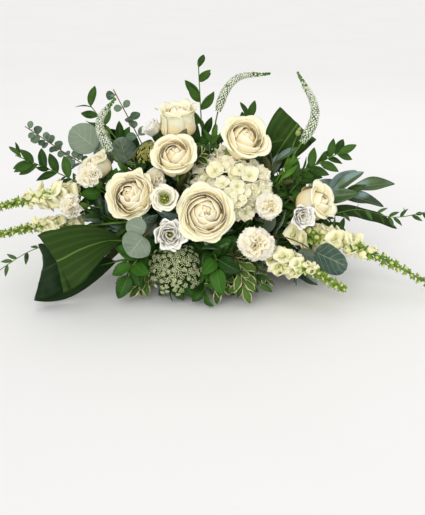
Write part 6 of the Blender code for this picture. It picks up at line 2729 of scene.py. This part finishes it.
@dataclass
class StrapLeaf:
    """An aspidistra leaf folded back on itself, with finishes for its upper side, stalk, a spare and underside."""

    ribbon: Ribbon
    stem: Stem
    finishes: Sequence[bpy.types.Material]
    rows: int = 72
    cols: int = 14

    def __post_init__(self) -> None:
        """Seeds its chance by its name."""
        self.draw = random.Random(self.ribbon.name + " looks")

    def sheet(self) -> Shape:
        """The blade as a sheet, its margins a little waved and its ribs raised.

        Returns:
            The sheet.
        """
        flat = Sheets.sheet(self.cols, self.rows)
        grid = self.ribbon.grid(self.rows, self.cols)
        grid[0] = grid[1] + (grid[0] - grid[1]) * 0.92
        grid[-1] = grid[-2] + (grid[-1] - grid[-2]) * 0.92
        points = np.array(grid)
        ahead = np.gradient(points, axis=0)
        over = np.gradient(points, axis=1)
        normal = np.cross(over, ahead)
        normal /= np.maximum(np.linalg.norm(normal, axis=2, keepdims=True), 1e-9)
        s = np.linspace(0, 1, self.rows + 1)[:, None]
        t = np.linspace(-1, 1, self.cols + 1)[None, :]
        phase = any_turn(self.draw)
        lift = 1.6 * np.sin(s * 17 + phase + t) * t**2 * np.sin(np.pi * s) + 0.35 * np.cos(t * 15)
        points = points + normal * lift[..., None]
        placed = np.empty_like(flat.points)
        placed[flat.row_order()] = points.reshape(-1, 3)
        return flat.moved(placed).toned(self.draw.uniform(0.3, 1))

    def built(self) -> bpy.types.Object:
        """The piece, dressed, standing for its solid.

        Returns:
            The piece.
        """
        sheet = self.sheet()
        wall = sheet.thickened(0.7)
        wall = replace(wall, slots=shape_slots(sheet, THIRD, 1))
        line, radii = stem_line(self.stem)
        start = np.array(self.ribbon.grid(self.rows, self.cols)[0][0])
        inside = np.array([np.mean(row, axis=0) for row in self.ribbon.grid(self.rows, self.cols)[2:14:3]])
        line = np.concatenate([line[:-1], [start], inside])
        radii = np.concatenate([radii, np.linspace(1.4, 0.4, len(inside))])
        stalk = drawn_stalks([(line, radii)], 1).dressed(GREEN)
        piece = Shape.joined([stalk, wall]).piece(self.ribbon.name + "_fine")
        for finish in self.finishes:
            piece.data.materials.append(finish)
        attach(piece, "root")
        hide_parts(self.ribbon.name)
        return piece


@dataclass(frozen=True)
class Bowl:
    """The low turned bowl."""

    sides: int = 96
    smooth_angle: float = 40.0

    def profile(self) -> list[tuple[float, float]]:
        """Radius and height pairs from the foot over the rim to the floor inside.

        Returns:
            The pairs, in millimetres.
        """
        foot, rim = BOWL_FOOT_RADIUS, BOWL_RIM_RADIUS
        outside = [(foot + 1.5, 1.0), (foot + 7, 3)]
        for k in range(1, 13):
            angle = math.radians(7.5 * k)
            outside.append(
                (foot + 7 + (rim - foot - 7) * math.sin(angle), 3 + (BOWL_HEIGHT - 5) * (1 - math.cos(angle)))
            )
        inside = [(rim - 0.5 * BOWL_WALL, BOWL_HEIGHT)]
        for radius, height in outside[:1:-1]:
            inside.append((radius - BOWL_WALL, max(height, BOWL_FLOOR)))
        return [*outside, *inside]

    def built(self, finish: bpy.types.Material) -> bpy.types.Object:
        """The piece: a disc drawn out ring by ring and closed inside, dressed in its glaze.

        Args:
            finish: its material.

        Returns:
            The piece.
        """
        deselect()
        bpy.ops.mesh.primitive_circle_add(
            vertices=self.sides, radius=BOWL_FOOT_RADIUS * MM, fill_type="NGON", location=(0, 0, 0)
        )
        piece = bpy.context.object
        piece.name = "bowl_fine"
        bpy.ops.object.mode_set(mode="EDIT")
        bpy.ops.mesh.select_all(action="SELECT")
        radius, height = BOWL_FOOT_RADIUS, 0.0
        for wider, higher in self.profile():
            bpy.ops.mesh.extrude_region_move(TRANSFORM_OT_translate={"value": (0, 0, (higher - height) * MM)})
            bpy.ops.transform.resize(value=(wider / radius, wider / radius, 1))
            radius, height = wider, higher
        bpy.ops.mesh.select_all(action="SELECT")
        bpy.ops.mesh.normals_make_consistent(inside=False)
        bpy.ops.object.mode_set(mode="OBJECT")
        picked(piece)
        bpy.ops.object.shade_smooth_by_angle(angle=math.radians(self.smooth_angle))
        piece.data.materials.append(finish)
        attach(piece, "root")
        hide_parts("bowl")
        return piece


@dataclass(frozen=True)
class Studio:
    """The pale floor, the soft lights and the camera, which looks at a target from a distance and a height."""

    target: tuple = (0, 0, 0.176)
    distance: float = 1.5
    elevation: float = 15.0
    lens: float = 58.25
    shift: float = -0.15
    sensor: float = 36.0
    floor_size: float = 60.0
    floor_drop: float = 0.0004

    def floor(self) -> None:
        """A wide pale floor under the bowl."""
        deselect()
        bpy.ops.mesh.primitive_grid_add(x_subdivisions=8, y_subdivisions=8, size=self.floor_size)
        made = bpy.context.object
        made.name = "floor"
        made.location.z = -self.floor_drop
        bpy.ops.object.transform_apply(location=True, rotation=True, scale=True)
        made.data.materials.append(FloorFinish().material())

    def lamp(self, name: str, kind: str, place: tuple, size: float, power: float) -> None:
        """A soft light that looks at the flowers: a sun of a wide angle, or a square panel of a size.

        Args:
            name: its name.
            kind: SUN or AREA.
            place: where it stands.
            size: of the sun's disc or the panel.
            power: its strength.
        """
        light = bpy.data.lights.new(name, kind)
        light.energy = power
        if kind == "SUN":
            light.angle = size
        else:
            light.shape = "SQUARE"
            light.size = size
        made = bpy.data.objects.new(name, light)
        made.location = place
        made.rotation_euler = (Vector(self.target) - Vector(place)).to_track_quat("-Z", "Y").to_euler()
        bpy.context.scene.collection.objects.link(made)

    def lights(self) -> None:
        """A white surround, a wide key and two weak panels, shown without a film curve."""
        world = bpy.data.worlds.new("studio")
        world.use_nodes = True
        ground = world.node_tree.nodes["Background"]
        ground.inputs[0].default_value = (1, 1, 1, 1)
        ground.inputs[1].default_value = 0.8
        bpy.context.scene.world = world
        bpy.context.scene.view_settings.view_transform = "Standard"
        self.lamp("key", "SUN", (-0.45, -2.0, 1.25), math.radians(40), 1.38)
        self.lamp("fill", "AREA", (1.4, -1.5, 0.8), 1.2, 3)
        self.lamp("back", "AREA", (0.3, 1.5, 1.6), 1.4, 3)

    def camera(self) -> None:
        """The camera at the photograph's angle."""
        made = bpy.data.objects.new("camera", bpy.data.cameras.new("camera"))
        rise, target = math.radians(self.elevation), Vector(self.target)
        made.location = target + Vector((0, -math.cos(rise), math.sin(rise))) * self.distance
        made.rotation_euler = (target - made.location).to_track_quat("-Z", "Y").to_euler()
        made.data.sensor_width = self.sensor
        made.data.lens = self.lens
        made.data.shift_y = self.shift
        bpy.context.scene.collection.objects.link(made)
        bpy.context.scene.camera = made


def petal_finishes() -> dict[str, PetalFinish]:
    """The petals' finishes by name.

    Returns:
        Each finish by the name of its flower.
    """
    return {
        "rose": PetalFinish("rose_petal", "F5D48C F7EDCA FBF6E4 FBE6B4 F3F1D2", fade=0.7),
        "hydrangea": PetalFinish("hydrangea_sepal", "D2D694 F2ECCE F9F5E4 EEE6B8 EEEDCC", veins=16),
        "carnation": PetalFinish("carnation_petal", "E8DEA4 F2EBD0 F5F0E2 F4E6B4 F0ECDC", veins=26),
        "lisianthus": PetalFinish("lisianthus_petal", "E6E6C4 F5F2EA F8F6F0 EFEBD0 F3F1EA", veins=26),
        "lisianthus_open": PetalFinish("cream_lisianthus_petal", "C6C668 F4EFDC F7F2E4 E8E2A8 F2ECDA"),
        "snapdragon": PetalFinish("snapdragon_petal", "CFD278 F0EBBE F5F1D8 F0E4A0 A4BA4E", veins=18),
        "veronica": PetalFinish("veronica_petal", "DCE4B8 F4F5E8 F8F8F0 F2F3E0 EAEFD0", veins=6),
        "lace": PetalFinish("lace_petal", "9CB45C E0E6B6 F2F5D8 BCCB84 DAE2AC", veins=6),
        "lace_back": PetalFinish("green_lace_petal", "A0A446 CCC26C DCD488 B4B054 BEB860", veins=6),
        "bud": PetalFinish("bud_petal", "6E8440 A4AC6A C2BE8C A4AC6A A4AC6A"),
    }


def leaf_finishes() -> dict[Kind, LeafFinish]:
    """The leaves' finishes by kind.

    Returns:
        Each finish by its kind.
    """
    return {
        Kind.RUSCUS: LeafFinish("ruscus_leaf", "1D3A12 416426 64843E 46662E", 0.4, 10, 1.6, 0.025, 0.12),
        Kind.GUNNII: LeafFinish("gunnii_leaf", "3E5640 6F866C 93A684 72886E", 0.55, 6, 0.5, 0.03, 0.18),
        Kind.SILVER_DOLLAR: LeafFinish("silver_dollar_leaf", "425A4E 82907C A8B298 7E8E7A", 0.55, 5, 0.7, 0.022, 0.3),
        Kind.SALAL: LeafFinish("salal_leaf", "12300C 34601A 6A8C3E 456A2E", 0.36, 7, 0.8, 0.022, 0.25),
        Kind.PITTOSPORUM: LeafFinish(
            "pittosporum_leaf", "203C12 4C6C2C 84965A 62784A", 0.45, 8, 0.7, 0.03, 0.15,
            margin="C4C48C",
        ),
        Kind.MAGNOLIA: LeafFinish(
            "magnolia_leaf", "183010 3C5828 7C8C56 5E5E30", 0.32, 10, 0.5, 0.03, 0.2,
            # 86A09C is the pale blue of the painted sheen, a painted reflection on the upper side.
            painted_sheen="86A09C", gloss=0.5,
        ),
        Kind.JASMINE: LeafFinish("jasmine_leaf", "27421E 4A6A34 708C4C 567048", 0.4, 5, 0.6, 0.05, 0.12),
        Kind.VERONICA: LeafFinish("veronica_leaf", "33591E 5C8A30 84A450 6A8C46", 0.45, 8, 0.6, 0.03, 0.2),
        Kind.ASPIDISTRA: LeafFinish(
            "aspidistra_leaf", "102408 2C4812 6E8C3C 263C16", 0.36,
            rib_width=0.02, vein_share=0.12, stripes=58,
        ),
    }


class Wardrobe:
    """All materials, made once: for each kind its main finish, its stem, and what else it wears."""

    def __init__(self) -> None:
        """Makes every finish."""
        self.petals = {name: finish.material() for name, finish in petal_finishes().items()}
        leaves = leaf_finishes()
        self.upper = {kind: finish.material() for kind, finish in leaves.items()}
        self.under = {kind: finish.material(under=True) for kind, finish in leaves.items()}
        # Painted shade: a darker copy of the aspidistra finish for the strap leaves that lie in shade.
        painted_shade_copy = replace(leaves[Kind.ASPIDISTRA], name="aspidistra_aged", colours="0A1A0C 1A3014 34502A 1E3616")
        self.shaded = (painted_shade_copy.material(), painted_shade_copy.material(under=True))
        self.fresh = StemFinish("fresh_stem", "3F5E20 6C8C38").material()
        self.woody = StemFinish("woody_stem", "5A4A30 7A6A44", 0.6).material()
        self.anther = StemFinish("anther", "D8A238 E5BE5A", 0.7).material()
        self.eye = StemFinish("floret_eye", "E3E6B4 CBD79A", 0.6).material()
        self.sepal = StemFinish("bright_sepal", "66882A 97AE48", 0.6).material()
        self.calyx = StemFinish("small_calyx", "35601C 5A8432", 0.6).material()

    def of(self, kind: Kind, name: str) -> list[bpy.types.Material]:
        """The finishes of a kind, or of one cutting of its own colour, in the order of its slots.

        Args:
            kind: the kind.
            name: the cutting's name.

        Returns:
            The materials.
        """
        if kind in LEAF_LOOKS:
            woody = kind in (Kind.GUNNII, Kind.SILVER_DOLLAR, Kind.MAGNOLIA, Kind.PITTOSPORUM)
            stem = self.woody if woody else self.fresh
            return [self.upper[kind], stem, self.upper[kind], self.under[kind]]
        thirds = {Kind.HYDRANGEA: self.eye, Kind.VERONICA: self.calyx, Kind.SNAPDRAGON: self.sepal}
        thirds[Kind.LACE] = self.upper[Kind.RUSCUS]
        third = thirds.get(kind, self.anther)
        found = [self.petals[name if name in self.petals else kind.value], self.fresh, third]
        if kind is Kind.VERONICA:
            found += [self.upper[kind], self.under[kind]]
        return found

    def strap(self, name: str) -> list[bpy.types.Material]:
        """The finishes of the strap leaf of that name in the order of its slots.

        Args:
            name: the leaf's name.

        Returns:
            The materials.
        """
        upper, under = self.upper[Kind.ASPIDISTRA], self.under[Kind.ASPIDISTRA]
        # Leaves in shade take the darker copy, painted shade.
        if name in SHADED_LEAVES:
            upper, under = self.shaded
        return [upper, self.fresh, upper, under]


FLOWERS: dict[Kind, type[Bloom]] = {
    Kind.ROSE: Rose,
    Kind.HYDRANGEA: Hydrangea,
    Kind.CARNATION: Carnation,
    Kind.LISIANTHUS: Lisianthus,
    Kind.LACE: Lace,
    Kind.SNAPDRAGON: Snapdragon,
    Kind.BUD: Bud,
}


def built_cutting(cutting: Cutting, layout: Layout, wardrobe: Wardrobe) -> bpy.types.Object:
    """The fine piece of one cutting.

    Args:
        cutting: the cut stem.
        layout: where all stems and leaves lie.
        wardrobe: all finishes.

    Returns:
        The piece.
    """
    stem, finishes = layout.stems[cutting.name], wardrobe.of(cutting.kind, cutting.name)
    if cutting.kind in FLOWERS:
        return FLOWERS[cutting.kind](cutting, stem, finishes).built()
    grown = Veronica if cutting.kind is Kind.VERONICA else Spray
    return grown(cutting, stem, finishes, layout.leaves[cutting.name]).built()


def main() -> None:
    """Builds every piece in order, then the studio."""
    logging.basicConfig(level=logging.INFO, format="%(message)s")
    layout = Layout()
    wardrobe = Wardrobe()
    for cutting in CUTTINGS:
        piece = built_cutting(cutting, layout, wardrobe)
        log.info("%s: %d faces", piece.name, len(piece.data.polygons))
    for sprig in layout.sprigs:
        finishes = wardrobe.of(sprig.kind, sprig.name)
        piece = Sprig(sprig, layout.stems[sprig.name], finishes, layout.leaves[sprig.name]).built()
        log.info("%s: %d faces", piece.name, len(piece.data.polygons))
    for ribbon in RIBBONS:
        piece = StrapLeaf(ribbon, layout.stems[ribbon.name], wardrobe.strap(ribbon.name)).built()
        log.info("%s: %d faces", piece.name, len(piece.data.polygons))
    Bowl().built(GlazeFinish().material())
    foam = frame["nodes"]["foam"]
    foam.data.materials.clear()
    foam.data.materials.append(FoamFinish().material())
    studio = Studio()
    studio.floor()
    studio.lights()
    studio.camera()


if __name__ == "__main__":
    main()
